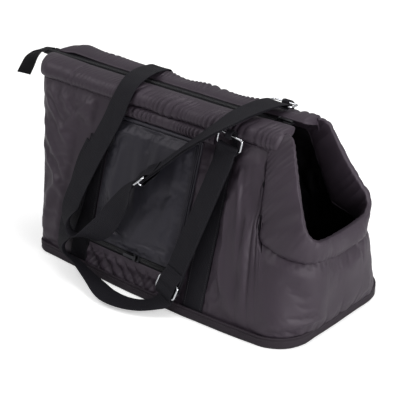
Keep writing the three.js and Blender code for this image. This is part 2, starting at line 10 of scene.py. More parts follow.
import bpy
import numpy as np
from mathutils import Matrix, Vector


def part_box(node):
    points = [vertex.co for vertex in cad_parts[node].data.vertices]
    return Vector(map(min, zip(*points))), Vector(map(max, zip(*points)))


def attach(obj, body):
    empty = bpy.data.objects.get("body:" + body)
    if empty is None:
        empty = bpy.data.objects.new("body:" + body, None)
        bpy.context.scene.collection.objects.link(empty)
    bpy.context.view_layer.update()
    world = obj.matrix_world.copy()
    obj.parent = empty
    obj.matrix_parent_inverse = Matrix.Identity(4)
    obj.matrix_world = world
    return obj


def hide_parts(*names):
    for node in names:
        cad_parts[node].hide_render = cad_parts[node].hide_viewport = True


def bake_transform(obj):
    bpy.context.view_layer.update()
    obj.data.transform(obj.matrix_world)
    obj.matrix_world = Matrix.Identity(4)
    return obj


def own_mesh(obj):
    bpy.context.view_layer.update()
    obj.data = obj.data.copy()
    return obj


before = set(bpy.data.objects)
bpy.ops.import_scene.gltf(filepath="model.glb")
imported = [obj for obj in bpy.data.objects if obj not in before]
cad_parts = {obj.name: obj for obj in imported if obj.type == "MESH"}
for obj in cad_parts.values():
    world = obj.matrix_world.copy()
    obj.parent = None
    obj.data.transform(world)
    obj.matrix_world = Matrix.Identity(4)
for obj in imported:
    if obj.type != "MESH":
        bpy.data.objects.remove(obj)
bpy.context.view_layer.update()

MM = 0.001
NEAR, FAR = -1, 1
X, Z = 0, 2


def cad_span(node, axis):
    """Lowest and highest place of a CAD node along an axis, in millimetres."""
    low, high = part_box(node)
    return low[axis] / MM, high[axis] / MM


# ---- dimensions read from the frame ----
BAND_H = cad_span("base_binding", Z)[1]
SEAM_Z = round(cad_span("side_panel_near", Z)[1] + 0.4)
FRONT_X = round(cad_span("front_panel", X)[1])
REAR_X = round(cad_span("base_binding", X)[0] + 1)
SPLIT_X = round(cad_span("side_panel_near", X)[1])
ROLL_REAR_X, ROLL_FRONT_X = cad_span("top_roll_near", X)
ZIP_REAR_X, ZIP_FRONT_X = cad_span("zip_tape_near", X)
ZIP_Z = round(sum(cad_span("zip_tape_near", Z)) / 2)
POCKET_X0, POCKET_X1 = cad_span("pocket_panel", X)
POCKET_TOP_Z = cad_span("pocket_panel", Z)[1]
WEB_FRONT_X = sum(cad_span("webbing_near_front", X)) / 2
WEB_REAR_X = sum(cad_span("webbing_near_rear", X)) / 2
WEB_W = np.ptp(cad_span("webbing_near_front", X))
TAB_W = np.ptp(cad_span("ring_tab_near", X))

# ---- shape of the bag, the same as in the CAD source ----
BASE_HALF, BASE_BELLY, BELLY_X, BELLY_LENGTH = 128, 12, 60, 520
SEAM_HALF = 50
REAR_LEAN = 50
CORNER_R, REAR_CORNER_R = 58, 16
WALL_FOOT_Z, REAR_TOP_Z = 6.0, 294.0
MOUTH_X, MOUTH_CORNER_X, MOUTH_CORNER_Z, MOUTH_LOW_Z = 160, 182, 150, 122
WEB_T = 1.6
WEB_FRONT_TOP_Z, WEB_REAR_TOP_Z = 256, 212
POCKET_ZIP_Z = 56
HEADER_Z, HEADER_FRONT_X = POCKET_TOP_Z + 6.5, 62
ZIP_LIP = 4.6                   # half of the gap between the cloth edges at the pocket zip


# ---- small helpers ----
def lerp(a, b, t):
    return a + (b - a) * t


def smooth(t):
    t = np.clip(t, 0, 1)
    return t * t * (3 - 2 * t)


def unit(v):
    v = np.asarray(v, float)
    return v / np.maximum(np.linalg.norm(v, axis=-1, keepdims=True), 1e-9)


def catmull(points, count, closed=False):
    """`count` points along a centripetal Catmull-Rom curve through `points`."""
    p = np.asarray(points, float)
    n = len(p)
    spans = n if closed else n - 1
    out = []
    for t in np.linspace(0, spans, count, endpoint=not closed):
        k = min(int(t), spans - 1)
        w = t - k
        if closed:
            q = [p[(k + i) % n] for i in (-1, 0, 1, 2)]
        else:
            before = p[k - 1] if k > 0 else 2 * p[0] - p[1]
            after = p[k + 2] if k + 2 < n else 2 * p[-1] - p[-2]
            q = [before, p[k], p[k + 1], after]
        d = [max(np.linalg.norm(q[i + 1] - q[i]) ** 0.5, 1e-4) for i in range(3)]
        m1 = (q[1] - q[0]) / d[0] - (q[2] - q[0]) / (d[0] + d[1]) + (q[2] - q[1]) / d[1]
        m2 = (q[2] - q[1]) / d[1] - (q[3] - q[1]) / (d[1] + d[2]) + (q[3] - q[2]) / d[2]
        m1, m2 = m1 * d[1], m2 * d[1]
        a = 2 * q[1] - 2 * q[2] + m1 + m2
        b = -3 * q[1] + 3 * q[2] - 2 * m1 - m2
        out.append(((a * w + b) * w + m1) * w + q[1])
    return np.array(out)


def gathers(along, pitch, seed):
    """Rounded tucks 0..1 with sharp valleys between them, at an uneven pitch."""
    phase = np.random.default_rng(seed).uniform(0, 2 * math.pi, 6)
    s = along + 0.45 * pitch * np.sin(along / (pitch * 1.3) + phase[0])
    s = s + 0.8 * pitch * np.sin(along / (pitch * 3.1) + phase[1])
    size = 0.62 + 0.38 * np.sin(along / (pitch * 1.7) + phase[2])
    return size * np.abs(np.sin(np.pi * s / pitch + phase[3])) ** 0.7


def ripples(a, b, length, seed):
    """A smooth uneven height field, about -1..1, with features `length` long."""
    rng = np.random.default_rng(seed)
    total = np.zeros(np.broadcast(a, b).shape)
    for _ in range(9):
        angle = rng.uniform(0, math.pi)
        scale = length * rng.uniform(0.6, 1.7)
        shift = rng.uniform(0, 2 * math.pi)
        across = a * math.cos(angle) + b * math.sin(angle)
        total = total + np.sin(across * 2 * math.pi / scale + shift)
    return total / 3.2


def fold(a, b, start, end, width, height):
    """One soft fold from start to end over the flat coordinates a, b."""
    s, e = np.array(start, float), np.array(end, float)
    d = e - s
    length = np.hypot(*d)
    t = ((a - s[0]) * d[0] + (b - s[1]) * d[1]) / length ** 2
    away = ((a - s[0]) * d[1] - (b - s[1]) * d[0]) / length
    taper = smooth(t / 0.35) * smooth((1 - t) / 0.35)
    return height * np.exp(-(away / width) ** 2) * taper


def add_folds(total, a, b, folds):
    """A height field with folds added, each given as (start, end, width, height)."""
    for shape in folds:
        total = total + fold(a, b, *shape)
    return total


def puckers(along, away, slant, reach, pitch, height, seed):
    """Short tucks that run out from a seam; `away` is the distance from it."""
    tucks = gathers(along + slant * away, pitch, seed)
    return height * tucks * np.exp(-(away / reach) ** 1.5)


def grid_normals(points):
    du = np.gradient(points, axis=0)
    dv = np.gradient(points, axis=1)
    return unit(np.cross(du, dv))


def arc_lengths(points, axis):
    """Distance along one axis of a grid of points, as a mean over the other axis."""
    step = np.linalg.norm(np.diff(points, axis=axis), axis=-1)
    mean = step.mean(axis=1 - axis)
    return np.concatenate([[0], np.cumsum(mean)])


def travel_along(line):
    """Distance travelled along a line at each of its points."""
    steps = np.linalg.norm(np.diff(line, axis=0), axis=1)
    return np.concatenate([[0], np.cumsum(steps)])


def resample(line, at):
    """The points of a line at the distances `at` along it."""
    travel = travel_along(line)
    return np.stack([np.interp(at, travel, values) for values in line.T], -1)


def evenly(line, count):
    return resample(line, np.linspace(0, travel_along(line)[-1], count))


def unit_grid(nu, nv, start=0):
    """Grids of u, from `start` to 1, and of v, from 0 to 1."""
    return np.meshgrid(np.linspace(start, 1, nu), np.linspace(0, 1, nv), indexing="ij")


# ---- making objects ----
def link(name, verts, faces, uvs=None, materials=()):
    """A mesh object from millimetre points. `uvs` holds one (u, v) per face corner."""
    mesh = bpy.data.meshes.new(name)
    mesh.from_pydata([tuple(v) for v in np.asarray(verts, float) * MM], [], faces)
    if uvs is not None:
        layer = mesh.uv_layers.new(name="cloth")
        layer.data.foreach_set("uv", np.asarray(uvs, np.float32).ravel())
    for material in materials:
        mesh.materials.append(material)
    mesh.polygons.foreach_set("use_smooth", [True] * len(mesh.polygons))
    mesh.update()
    obj = bpy.data.objects.new(name, mesh)
    bpy.context.scene.collection.objects.link(obj)
    return obj


def grid_faces(nu, nv, wrap_u=False, wrap_v=False):
    """The quads of a grid of points, and the (u, v) step of each of their corners."""
    quads, corners = [], []
    for i in range(nu if wrap_u else nu - 1):
        for j in range(nv if wrap_v else nv - 1):
            i2, j2 = (i + 1) % nu, (j + 1) % nv
            quads.append((i * nv + j, i2 * nv + j, i2 * nv + j2, i * nv + j2))
            corners += [(i, j), (i + 1, j), (i + 1, j + 1), (i, j + 1)]
    return quads, corners


def grid_uvs(points, corners, wrap_u, wrap_v):
    u = arc_lengths(points, 0)
    v = arc_lengths(points, 1)
    u = np.append(u, u[-1] + (u[-1] - u[-2])) if wrap_u else u
    v = np.append(v, v[-1] + (v[-1] - v[-2])) if wrap_v else v
    return [(u[i], v[j]) for i, j in corners]


def grid_object(name, points, facing, materials, wrap_u=False, wrap_v=False, caps=False):
    """A smooth grid of (nu, nv, 3) points, turned so that its middle faces `facing`."""
    nu, nv = points.shape[:2]
    quads, corners = grid_faces(nu, nv, wrap_u, wrap_v)
    uvs = grid_uvs(points, corners, wrap_u, wrap_v)
    if caps:
        first = tuple(range(nv))
        last = tuple((nu - 1) * nv + j for j in reversed(first))
        quads += [first, last]
        uvs += [(0.0, float(j)) for j in first] * 2
    if wrap_v:
        facing = points - points.mean(axis=1, keepdims=True)
    if np.sum(grid_normals(points) * np.asarray(facing, float)) < 0:
        ends = np.cumsum([len(face) for face in quads])
        uvs = [uv for face, end in zip(quads, ends) for uv in uvs[end - len(face):end][::-1]]
        quads = [face[::-1] for face in quads]
    return link(name, points.reshape(-1, 3), quads, uvs, materials)


def subdivide(obj):
    sub = obj.modifiers.new("subdivide", "SUBSURF")
    sub.levels = sub.render_levels = 1


def thicken(obj, thickness, lined=False):
    """Cloth thickness inwards. A lined sheet has its second material inside."""
    solid = obj.modifiers.new("thickness", "SOLIDIFY")
    solid.thickness = thickness * MM
    solid.offset = -1
    if lined:
        solid.material_offset = 1
        solid.material_offset_rim = 0


def join(name, objects):
    """One object from several, keeping their materials."""
    with bpy.context.temp_override(
        active_object=objects[0], object=objects[0],
        selected_objects=objects, selected_editable_objects=objects,
    ):
        bpy.ops.object.join()
    objects[0].name = name
    objects[0].data.name = name
    return objects[0]


def dress(obj, node=None, body="shell"):
    """Rides a piece on its body, in place of the CAD node it stands for."""
    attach(obj, body)
    if node:
        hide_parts(node)


def paint(node, material):
    """The looks of a CAD node that is kept as it is."""
    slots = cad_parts[node].data.materials
    slots.clear()
    slots.append(material)


def settle(obj, held, pressure, grow, cap, frames=16):
    """Swells and crumples a sheet as cloth between its held points.

    `grow` is the share by which the cloth is larger than its sheet, and `cap` the furthest
    that a point may move, in millimetres.
    """
    group = obj.vertex_groups.new(name="held")
    group.add([int(index) for index in np.flatnonzero(held)], 1.0, "REPLACE")
    cloth = obj.modifiers.new("cloth", "CLOTH")
    s = cloth.settings
    s.vertex_group_mass = "held"
    s.quality = 5
    s.mass = 0.15
    s.tension_stiffness = s.compression_stiffness = 12
    s.shear_stiffness = 6
    s.bending_stiffness = 0.12
    s.use_pressure = True
    s.uniform_pressure_force = pressure
    s.shrink_min = -grow
    s.effector_weights.gravity = 0
    cloth.collision_settings.use_collision = False
    cloth.point_cache.frame_start, cloth.point_cache.frame_end = 1, frames
    scene = bpy.context.scene
    rest = np.array([v.co for v in obj.data.vertices])
    for step in range(1, frames + 1):
        scene.frame_set(step)
    shaped = obj.evaluated_get(bpy.context.evaluated_depsgraph_get())
    moved = np.array([v.co for v in shaped.data.vertices]) - rest
    obj.modifiers.remove(cloth)
    obj.vertex_groups.remove(group)
    scene.frame_set(1)
    distance = np.linalg.norm(moved, axis=1, keepdims=True) / MM
    share = cap * np.tanh(distance / cap) / np.maximum(distance, 1e-6)
    obj.data.vertices.foreach_set("co", (rest + moved * share).astype(np.float32).ravel())
    obj.data.update()


# ---- materials ----
DARKER, LIGHTER = 0.72, 1.32    # how far a tint may vary from its colour


class Shader:
    """A node material that is built up from its Principled BSDF."""

    def __init__(self, name):
        self.material = bpy.data.materials.new(name)
        self.material.use_nodes = True
        self.tree = self.material.node_tree
        self.bsdf = self.tree.nodes["Principled BSDF"]
        coordinates = self.tree.nodes.new("ShaderNodeTexCoord")
        self.uv, self.place = coordinates.outputs["UV"], coordinates.outputs["Object"]

    def node(self, kind, settings=None, **inputs):
        made = self.tree.nodes.new("ShaderNode" + kind)
        for key, value in (settings or {}).items():
            setattr(made, key, value)
        for key, value in inputs.items():
            self.feed(made.inputs[key.replace("_", " ")], value)
        return made

    def feed(self, socket, value):
        if isinstance(value, bpy.types.NodeSocket):
            self.tree.links.new(value, socket)
        else:
            socket.default_value = value

    def math(self, operation, a, b):
        made = self.tree.nodes.new("ShaderNodeMath")
        made.operation = operation
        self.feed(made.inputs[0], a)
        self.feed(made.inputs[1], b)
        return made.outputs[0]

    def noise(self, vector, scale, detail=3.0, roughness=0.5):
        return self.node("TexNoise", None, Vector=vector, Scale=scale, Detail=detail,
                         Roughness=roughness).outputs["Fac"]

    def wave(self, vector, scale, direction):
        return self.node("TexWave", {"bands_direction": direction}, Vector=vector,
                         Scale=scale, Distortion=0.0).outputs["Fac"]

    def spread(self, value, low, high):
        return self.node("MapRange", None, Value=value, To_Min=low, To_Max=high).outputs[0]

    def tint(self, colour, amount):
        """The colour, darkened or lightened by a 0..1 `amount` socket."""
        dark = (*[c * DARKER for c in colour], 1)
        light = (*[min(1, c * LIGHTER) for c in colour], 1)
        mix = self.node("Mix", {"data_type": "RGBA"})
        self.feed(mix.inputs["Factor"], amount)
        self.feed(mix.inputs["A"], dark)
        self.feed(mix.inputs["B"], light)
        return mix.outputs["Result"]

    def bump(self, height, distance, strength=1.0, below=None):
        made = self.node("Bump", None, Height=height, Distance=distance * MM, Strength=strength)
        if below is not None:
            self.feed(made.inputs["Normal"], below)
        return made.outputs["Normal"]

    def set(self, **inputs):
        for key, value in inputs.items():
            self.feed(self.bsdf.inputs[key.replace("_", " ")], value)
        return self.material


def pitch_scale(pitch):
    """Scale of a wave texture whose stripes repeat every `pitch` units."""
    return 2 * math.pi / (20 * pitch)


def woven_cloth(name, colour, rough, sheen, gloss, crinkle=1.0):
    """Plain-woven cloth: fine threads, a satin sheen, crinkles and painted highlights on ridges."""
    s = Shader(name)
    warp = s.wave(s.uv, pitch_scale(0.7), "X")
    weft = s.wave(s.uv, pitch_scale(0.7), "Y")
    weave = s.math("MULTIPLY", warp, weft)
    broad = s.noise(s.place, 14, 2.0)
    crush = s.noise(s.place, 48)
    # Painted highlight: the colour is lightened on convex ridges by pointiness and left darker in
    # creases as painted shade.
    ridge_pointiness = s.node("NewGeometry").outputs["Pointiness"]
    edge = s.node("MapRange", None, Value=ridge_pointiness, From_Min=0.48, From_Max=0.56,
                  To_Min=0.0, To_Max=0.35).outputs[0]
    amount = s.math("ADD", s.math("MULTIPLY", broad, 0.7), s.math("MULTIPLY", weave, 0.25))
    shade = s.math("ADD", amount, edge)
    fine = s.bump(weave, 0.12, 0.35, s.bump(crush, 0.9 * crinkle, 0.18))
    roughness = s.spread(s.noise(s.place, 40), rough - 0.06, rough + 0.08)
    return s.set(Base_Color=s.tint(colour, shade), Roughness=roughness, Normal=fine,
                 Sheen_Weight=sheen, Sheen_Roughness=0.35, Sheen_Tint=(0.8, 0.72, 0.85, 1),
                 Specular_IOR_Level=gloss, Specular_Tint=(1.0, 0.93, 1.0, 1))


def ribbed_webbing(name, colour, rib):
    """Heavy webbing: ribs along its length, crossed by picks, with a fuzz of fibres."""
    s = Shader(name)
    ribs = s.wave(s.uv, pitch_scale(rib), "Y")
    picks = s.wave(s.uv, pitch_scale(1.5), "X")
    twill = s.wave(s.uv, pitch_scale(2.1), "DIAGONAL")
    weave = s.math("ADD", s.math("MULTIPLY", ribs, 0.6), s.math("MULTIPLY", picks, 0.4))
    fuzz = s.noise(s.place, 700)
    shade = s.math("ADD", s.math("MULTIPLY", weave, 1.3), s.math("MULTIPLY", fuzz, 0.3))
    coarse = s.bump(weave, 0.7, 0.9)
    fine = s.bump(s.math("ADD", twill, s.math("MULTIPLY", fuzz, 0.5)), 0.25, 0.5, coarse)
    roughness = s.spread(s.noise(s.place, 60), 0.55, 0.75)
    return s.set(Base_Color=s.tint(colour, shade), Roughness=roughness, Normal=fine,
                 Specular_IOR_Level=0.16)


def plated_metal(name, colour, rough):
    s = Shader(name)
    scratches = s.noise(s.place, 420, 5.0, 0.7)
    blotches = s.noise(s.place, 60)
    roughness = s.spread(scratches, rough * 0.7, rough * 1.7)
    return s.set(Base_Color=s.tint(colour, blotches), Roughness=roughness, Metallic=1.0,
                 Normal=s.bump(scratches, 0.05, 0.2))


def moulded_plastic(name, colour, rough):
    s = Shader(name)
    grain = s.noise(s.place, 900, 2.0)
    return s.set(Base_Color=s.tint(colour, s.noise(s.place, 90, 2.0)), Metallic=0.0,
                 Roughness=s.spread(grain, rough - 0.06, rough + 0.1),
                 Normal=s.bump(grain, 0.06, 0.25))


def fibre_board(name, colour):
    s = Shader(name)
    fibres = s.noise(s.place, 160, 6.0, 0.7)
    return s.set(Base_Color=s.tint(colour, fibres), Roughness=s.spread(fibres, 0.75, 0.95),
                 Normal=s.bump(fibres, 0.3, 0.4))


NYLON = woven_cloth("charcoal_nylon", (0.0325, 0.0243, 0.0335), 0.48, 0.02, gloss=0.36)
POCKET = woven_cloth("pocket_nylon", (0.017, 0.0168, 0.023), 0.46, 0.01, gloss=0.34, crinkle=0.7)
LINING = woven_cloth("black_lining", (0.004, 0.004, 0.005), 0.8, 0.0, gloss=0.15, crinkle=0.5)
WEBBING = ribbed_webbing("ribbed_webbing", (0.0088, 0.0082, 0.0112), rib=2.8)
BANDING = ribbed_webbing("base_band_tape", (0.030, 0.0235, 0.030), rib=1.6)
TAPE = ribbed_webbing("zip_tape_cloth", (0.0065, 0.006, 0.008), rib=1.1)
NICKEL = plated_metal("nickel_wire", (0.62, 0.63, 0.66), 0.16)
DARK_METAL = plated_metal("blackened_zip_metal", (0.05, 0.05, 0.055), 0.3)
COIL = moulded_plastic("nylon_zip_coil", (0.008, 0.008, 0.010), 0.35)
THREAD = moulded_plastic("sewing_thread", (0.030, 0.027, 0.033), 0.55)
BOARD = fibre_board("stiff_base_board", (0.16, 0.13, 0.095))


# ---- cords, wires and stitches ----
def tube_points(path, radius, sides, closed):
    """Rings of points round a path. `radius` is one number or one per point."""
    path = np.asarray(path, float)
    if closed:
        along = unit(np.roll(path, -1, 0) - np.roll(path, 1, 0))
    else:
        along = unit(np.gradient(path, axis=0))
    start = np.array([0, 0, 1.0]) if abs(along[0][2]) < 0.9 else np.array([1.0, 0, 0])
    frames, up = [], start
    for a in along:
        up = unit(up - a * np.dot(up, a))
        frames.append(up)
    up = np.array(frames)
    over = np.cross(along, up)
    turn = np.linspace(0, 2 * math.pi, sides, endpoint=False)
    radius = np.broadcast_to(np.asarray(radius, float), (len(path),))
    ring = (np.cos(turn)[None, :, None] * up[:, None, :]
            + np.sin(turn)[None, :, None] * over[:, None, :])
    return path[:, None, :] + ring * radius[:, None, None]


def cord(name, path, radius, material, sides=8, closed=False):
    points = tube_points(path, radius, sides, closed)
    return grid_object(name, points, (0, 0, 1), [material], wrap_u=closed, wrap_v=True,
                       caps=not closed)


def small_tubes(name, paths, radius, sides, material):
    """Many short capped tubes in one object, one round each path."""
    verts, faces = [], []
    for path in paths:
        end = len(path) * sides
        quads, _ = grid_faces(len(path), sides, False, True)
        shape = [tuple(range(sides)), tuple(reversed(range(end - sides, end)))]
        shape = [quad[::-1] for quad in quads] + shape
        faces += [tuple(len(verts) + i for i in face) for face in shape]
        verts += list(tube_points(path, radius, sides, False).reshape(-1, 3))
    return link(name, verts, faces, None, [material])


def stitches(name, line, pitch=3.4, length=2.3, radius=0.38):
    """A row of small raised stitches along a line of millimetre points."""
    line = np.asarray(line, float)
    starts = np.arange(pitch / 2, travel_along(line)[-1] - length, pitch)
    paths = [resample(line, start + length * np.array([0, 0.5, 1])) for start in starts]
    return small_tubes(name, paths, [radius * 0.6, radius, radius * 0.6], 5, THREAD)


# ---- surfaces of the bag ----
def base_half(x):
    """Half of the bag's width at its foot."""
    return BASE_HALF + BASE_BELLY * np.cos((x - BELLY_X) / BELLY_LENGTH * math.pi)


def half_width(x, z):
    return lerp(base_half(x), SEAM_HALF, z / SEAM_Z)


def rear_x(z):
    return REAR_X - REAR_LEAN * (z / SEAM_Z)


def side_at(x, z, side, off=0.0):
    """A point on a side wall, `off` outside it."""
    x, z = np.broadcast_arrays(np.asarray(x, float), np.asarray(z, float))
    slope = (base_half(x) - SEAM_HALF) / SEAM_Z
    length = np.hypot(1, slope)
    return np.stack([x, side * (half_width(x, z) + off / length), z + off * slope / length], -1)


def wall_panel(name, points, facing, held, pressure, grow, cap):
    """A lined panel of the wall, crumpled as cloth between its held points."""
    obj = grid_object(name, points, facing, [NYLON, LINING])
    settle(obj, held, pressure, grow, cap)
    thicken(obj, 2.4, lined=True)
    subdivide(obj)
    dress(obj, name)


def padded(name, points):
    """A closed padded piece of nylon, from rings of points."""
    obj = grid_object(name, points, (0, 0, 1), [NYLON], wrap_v=True, caps=True)
    subdivide(obj)
    dress(obj, name)


# Folds: start, end, width and height. The near handle's loop leans on the near side panel.
SIDE_FOLDS = [((-305, 262), (-205, 168), 5.5, 4.6), ((-300, 224), (-222, 128), 6, 3.8),
              ((-288, 172), (-214, 92), 7, 3.0), ((-288, 268), (-236, 214), 4.5, 3.4),
              ((-262, 268), (-222, 226), 4, 3.0), ((-312, 196), (-262, 150), 5, 2.6),
              ((-190, 262), (-255, 190), 5, 3.2), ((-262, 20), (-238, 150), 11, 2.2),
              ((-192, 150), (-206, 30), 8, 2.2)]
LOOP_REAR_X, LOOP_TOP_Z = -224, 238
REAR_FOLDS = [((-60, 240), (20, 150), 10, 2.2), ((50, 250), (-10, 170), 11, 2.2),
              ((-80, 120), (-30, 30), 12, 2.2), ((70, 140), (40, 30), 13, 2.2)]


def side_panel(name, side):
    u, v = unit_grid(86, 66)
    z = lerp(WALL_FOOT_Z, SEAM_Z + 2.0, v)
    x = lerp(rear_x(z) + 2.0, SPLIT_X + 2.0, u)
    inside = smooth((x - rear_x(z)) / 26) * smooth((SPLIT_X - x) / 22)
    inside = inside * smooth((z - 10) / 26) * smooth((SEAM_Z - z) / 22)
    rear = x < WEB_REAR_X
    under_web = np.abs(x - WEB_REAR_X) < WEB_W / 2 + 1
    held = under_web | (x > SPLIT_X - WEB_W / 2 - 1)
    if side == NEAR:
        held = held | ((x > POCKET_X0 - 4) & (x < POCKET_X1 + 8) & (z < POCKET_TOP_Z + 8))
    height = 5.0 * inside * (1 - smooth((x - WEB_REAR_X + 6) / 10) * (side == NEAR))
    height = height + 0.9 * ripples(x, z, 120, 3 + side) * inside
    beside = np.abs(x - (WEB_REAR_X - WEB_W / 2))
    height += puckers(z, beside, 0.25, 34, 13, 2.8, 11 + side) * rear
    height += puckers(x, np.abs(z - SEAM_Z), 0.2, 30, 15, 3.2, 15 + side) * rear
    height = add_folds(height, x, z, SIDE_FOLDS)
    if side == NEAR:
        under_loop = smooth((x - LOOP_REAR_X) / 12) * smooth((LOOP_TOP_Z - z) / 16) * rear
        height = lerp(height, np.minimum(height, 1.0), under_loop)
        held = held | (under_loop > 0.9)
    height = np.where((held & ~rear) | under_web, 0, height)
    corner = -10 * (1 - smooth((x - rear_x(z)) / 12)) ** 2
    held[:2, :] = held[-3:, :] = True
    held[:, :3] = held[:, -2:] = True
    points = side_at(x, z, side, height + corner)
    wall_panel(name, points, (0, side, 0.3), held, 2.2, 0.035, 6)


def rear_panel():
    u, v = unit_grid(50, 70, start=-1)
    z = lerp(WALL_FOOT_Z, REAR_TOP_Z, v)
    below = half_width(rear_x(z), z) - 1.0
    above = np.interp(z, [SEAM_Z, REAR_TOP_Z - 10, REAR_TOP_Z], [SEAM_HALF - 1, 38, 13])
    y = u * np.where(z < SEAM_Z, below, above)
    inside = (1 - np.abs(u) ** 4) * smooth((z - 8) / 40) * smooth((REAR_TOP_Z - 2 - z) / 40)
    corner = 8 * smooth((np.abs(u) - 0.86) / 0.14) ** 2
    height = 6.0 * inside - corner + 0.8 * ripples(y, z, 90, 21) * inside
    height = add_folds(height, y, z, REAR_FOLDS)
    points = np.stack([rear_x(z) - height, y, z], -1)
    held = (np.abs(u) > 0.95) | (z < 12) | (z > REAR_TOP_Z - 8)
    wall_panel("rear_panel", points, (-1, 0, 0), held, 2.0, 0.03, 5)


def wall_top(x):
    """Height of a side wall's top edge, which drops from the roll to the low mouth."""
    steep = lerp(SEAM_Z, MOUTH_CORNER_Z, smooth((x - MOUTH_X) / (MOUTH_CORNER_X - MOUTH_X)))
    run = (x - MOUTH_CORNER_X) / (FRONT_X - MOUTH_CORNER_X)
    gentle = np.clip(run, 0, 1) ** 0.7
    return steep - gentle * (MOUTH_CORNER_Z - MOUTH_LOW_Z - 6)


def front_wall_point(q, z):
    """The wall round the front: q is -1 at the near split, 0 in front, 1 at the far split."""
    side = np.where(q < 0, -1.0, 1.0)
    k = np.abs(q)
    corner_start = FRONT_X - CORNER_R
    turn = np.clip((0.5 - k) / 0.25, 0, 1) * math.pi / 2
    x = np.where(k > 0.5, lerp(corner_start, SPLIT_X - 2, (k - 0.5) / 0.5),
                 corner_start + CORNER_R * np.sin(turn))
    y = half_width(np.minimum(x, corner_start), z)
    y = np.where(k <= 0.5, y - CORNER_R + CORNER_R * np.cos(turn), y)
    y = np.where(k <= 0.25, lerp(y, 0, np.clip((0.25 - k) / 0.25, 0, 1)), y)
    return np.stack([x, side * y, z], -1)


def even_steps(q, z, count):
    """`count` values of q and z, evenly spaced along the line they draw on the front wall."""
    travel = travel_along(front_wall_point(q, z))
    at = np.linspace(0, travel[-1], count)
    return np.interp(at, travel, q), np.interp(at, travel, z)


WEBBING_Q = 0.082               # share of the wall that the front webbing covers, as q

# Long folds of the front panel: q and z of each end, width as q, and height.
FRONT_FOLDS = [(-0.90, 215, -0.80, 60, 0.022, 4.2), (-0.83, 238, -0.68, 90, 0.022, 4.0),
               (-0.72, 200, -0.62, 60, 0.026, 3.4), (-0.88, 130, -0.86, 24, 0.022, 3.2),
               (0.90, 220, 0.74, 70, 0.03, 2.6), (0.78, 230, 0.66, 90, 0.03, 2.2)]


def side_window(q):
    """1 along the sides of the front panel and 0 round its front."""
    return smooth((np.abs(q) - 0.50) / 0.12) * smooth((0.99 - np.abs(q)) / 0.08)


def opening_edge(count):
    """q and z along the top edge of the front panel, from the near split to the far one."""
    q = np.linspace(-1, 1, 2400)
    k = np.abs(q)
    x = front_wall_point(q, 0 * q)[:, 0]
    z = wall_top(x) - 6 * np.clip((0.25 - k) / 0.25, 0, 1)
    return even_steps(q, z, count)


def front_grid(nu, nv):
    """q, z and v over the front wall, from its foot (v = 0) to the opening (v = 1)."""
    top_q, top_z = opening_edge(nu)
    low_q, _ = even_steps(np.linspace(-1, 1, 1200), np.full(1200, WALL_FOOT_Z), nu)
    v = np.linspace(0, 1, nv)[None, :] + np.zeros((nu, 1))
    q = lerp(low_q[:, None], top_q[:, None], v)
    z = lerp(WALL_FOOT_Z, top_z[:, None] + 1.0, v)
    return q, z, v


def front_height(points, q, z, v, beyond_webbing):
    """How far the front cloth stands out from its wall: swell, tucks, puckers and folds."""
    count = len(q)
    around = arc_lengths(points[:, :2], 0)[:, None] + 0 * v
    steps = np.linalg.norm(np.diff(points, axis=1), axis=2)
    down = np.concatenate([np.zeros((count, 1)), np.cumsum(steps, axis=1)], axis=1)
    down = down[:, -1:] - down
    inside = smooth(beyond_webbing / 0.07) * smooth(v / 0.25) * smooth(down / 30)
    height = 5.0 * inside + 1.6 * ripples(around, z, 90, 31) * inside
    edge = front_wall_point(*opening_edge(count))
    mouth = smooth((edge[:, 0] - MOUTH_X + 10) / 20)[:, None]
    tucks = gathers(travel_along(edge)[:, None] + 0.2 * down, 11, 32)
    height += 3.4 * tucks * np.exp(-down / 18) * mouth * smooth(down / 3)
    height -= 5.0 * np.exp(-down / 4.5) * mouth
    tucks = gathers(around + 0.15 * (z - 100), 23, 35) - 0.45
    height += 4.2 * tucks * side_window(q) * inside
    tucks = gathers(z + 0.3 * around, 15, 33)
    height += 2.6 * tucks * np.exp(-(beyond_webbing / 0.06) ** 2) * inside ** 0.3
    height += 1.2 * gathers(around, 26, 34) * np.exp(-(z - 12) / 18) * smooth((z - 10) / 10)
    for q0, z0, q1, z1, width, rise in FRONT_FOLDS:
        across = np.abs(q - lerp(q0, q1, np.clip((z0 - z) / (z0 - z1), 0, 1)))
        run = smooth((z0 + 15 - z) / 40) * smooth((z - z1 + 15) / 40)
        height += rise * np.exp(-(across / width) ** 2) * run
    return height


def front_panel():
    q, z, v = front_grid(220, 44)
    points = front_wall_point(q, z)
    beyond_webbing = 1 - np.abs(q) - WEBBING_Q
    height = front_height(points, q, z, v, beyond_webbing)
    normal = grid_normals(points)
    if np.sum(normal * points * [1, 1, 0]) < 0:
        normal = -normal
    points = points + normal * height[..., None]
    held = (v < 0.05) | (v > 0.985) | (beyond_webbing < 0.004)
    wall_panel("front_panel", points, normal, held, 2.0, 0.03, 5)


# ---- collar ----
COLLAR_RIM = [(184, -38, 303), (199, -44, 297), (210, -52, 272), (224, -62, 238),
              (240, -73, 204), (254, -78, 178), (261, -66, 163), (262, -36, 157)]
COLLAR_LOWEST = (262, 0, 155)
MOUTH_MIDDLE = (150, 0, 150)


def mouth_line(half, middle, count):
    """A line round the opening from its near half, evenly spaced."""
    other = [(x, -y, z) for x, y, z in reversed(half)]
    return evenly(catmull([*half, middle, *other], 800), count)


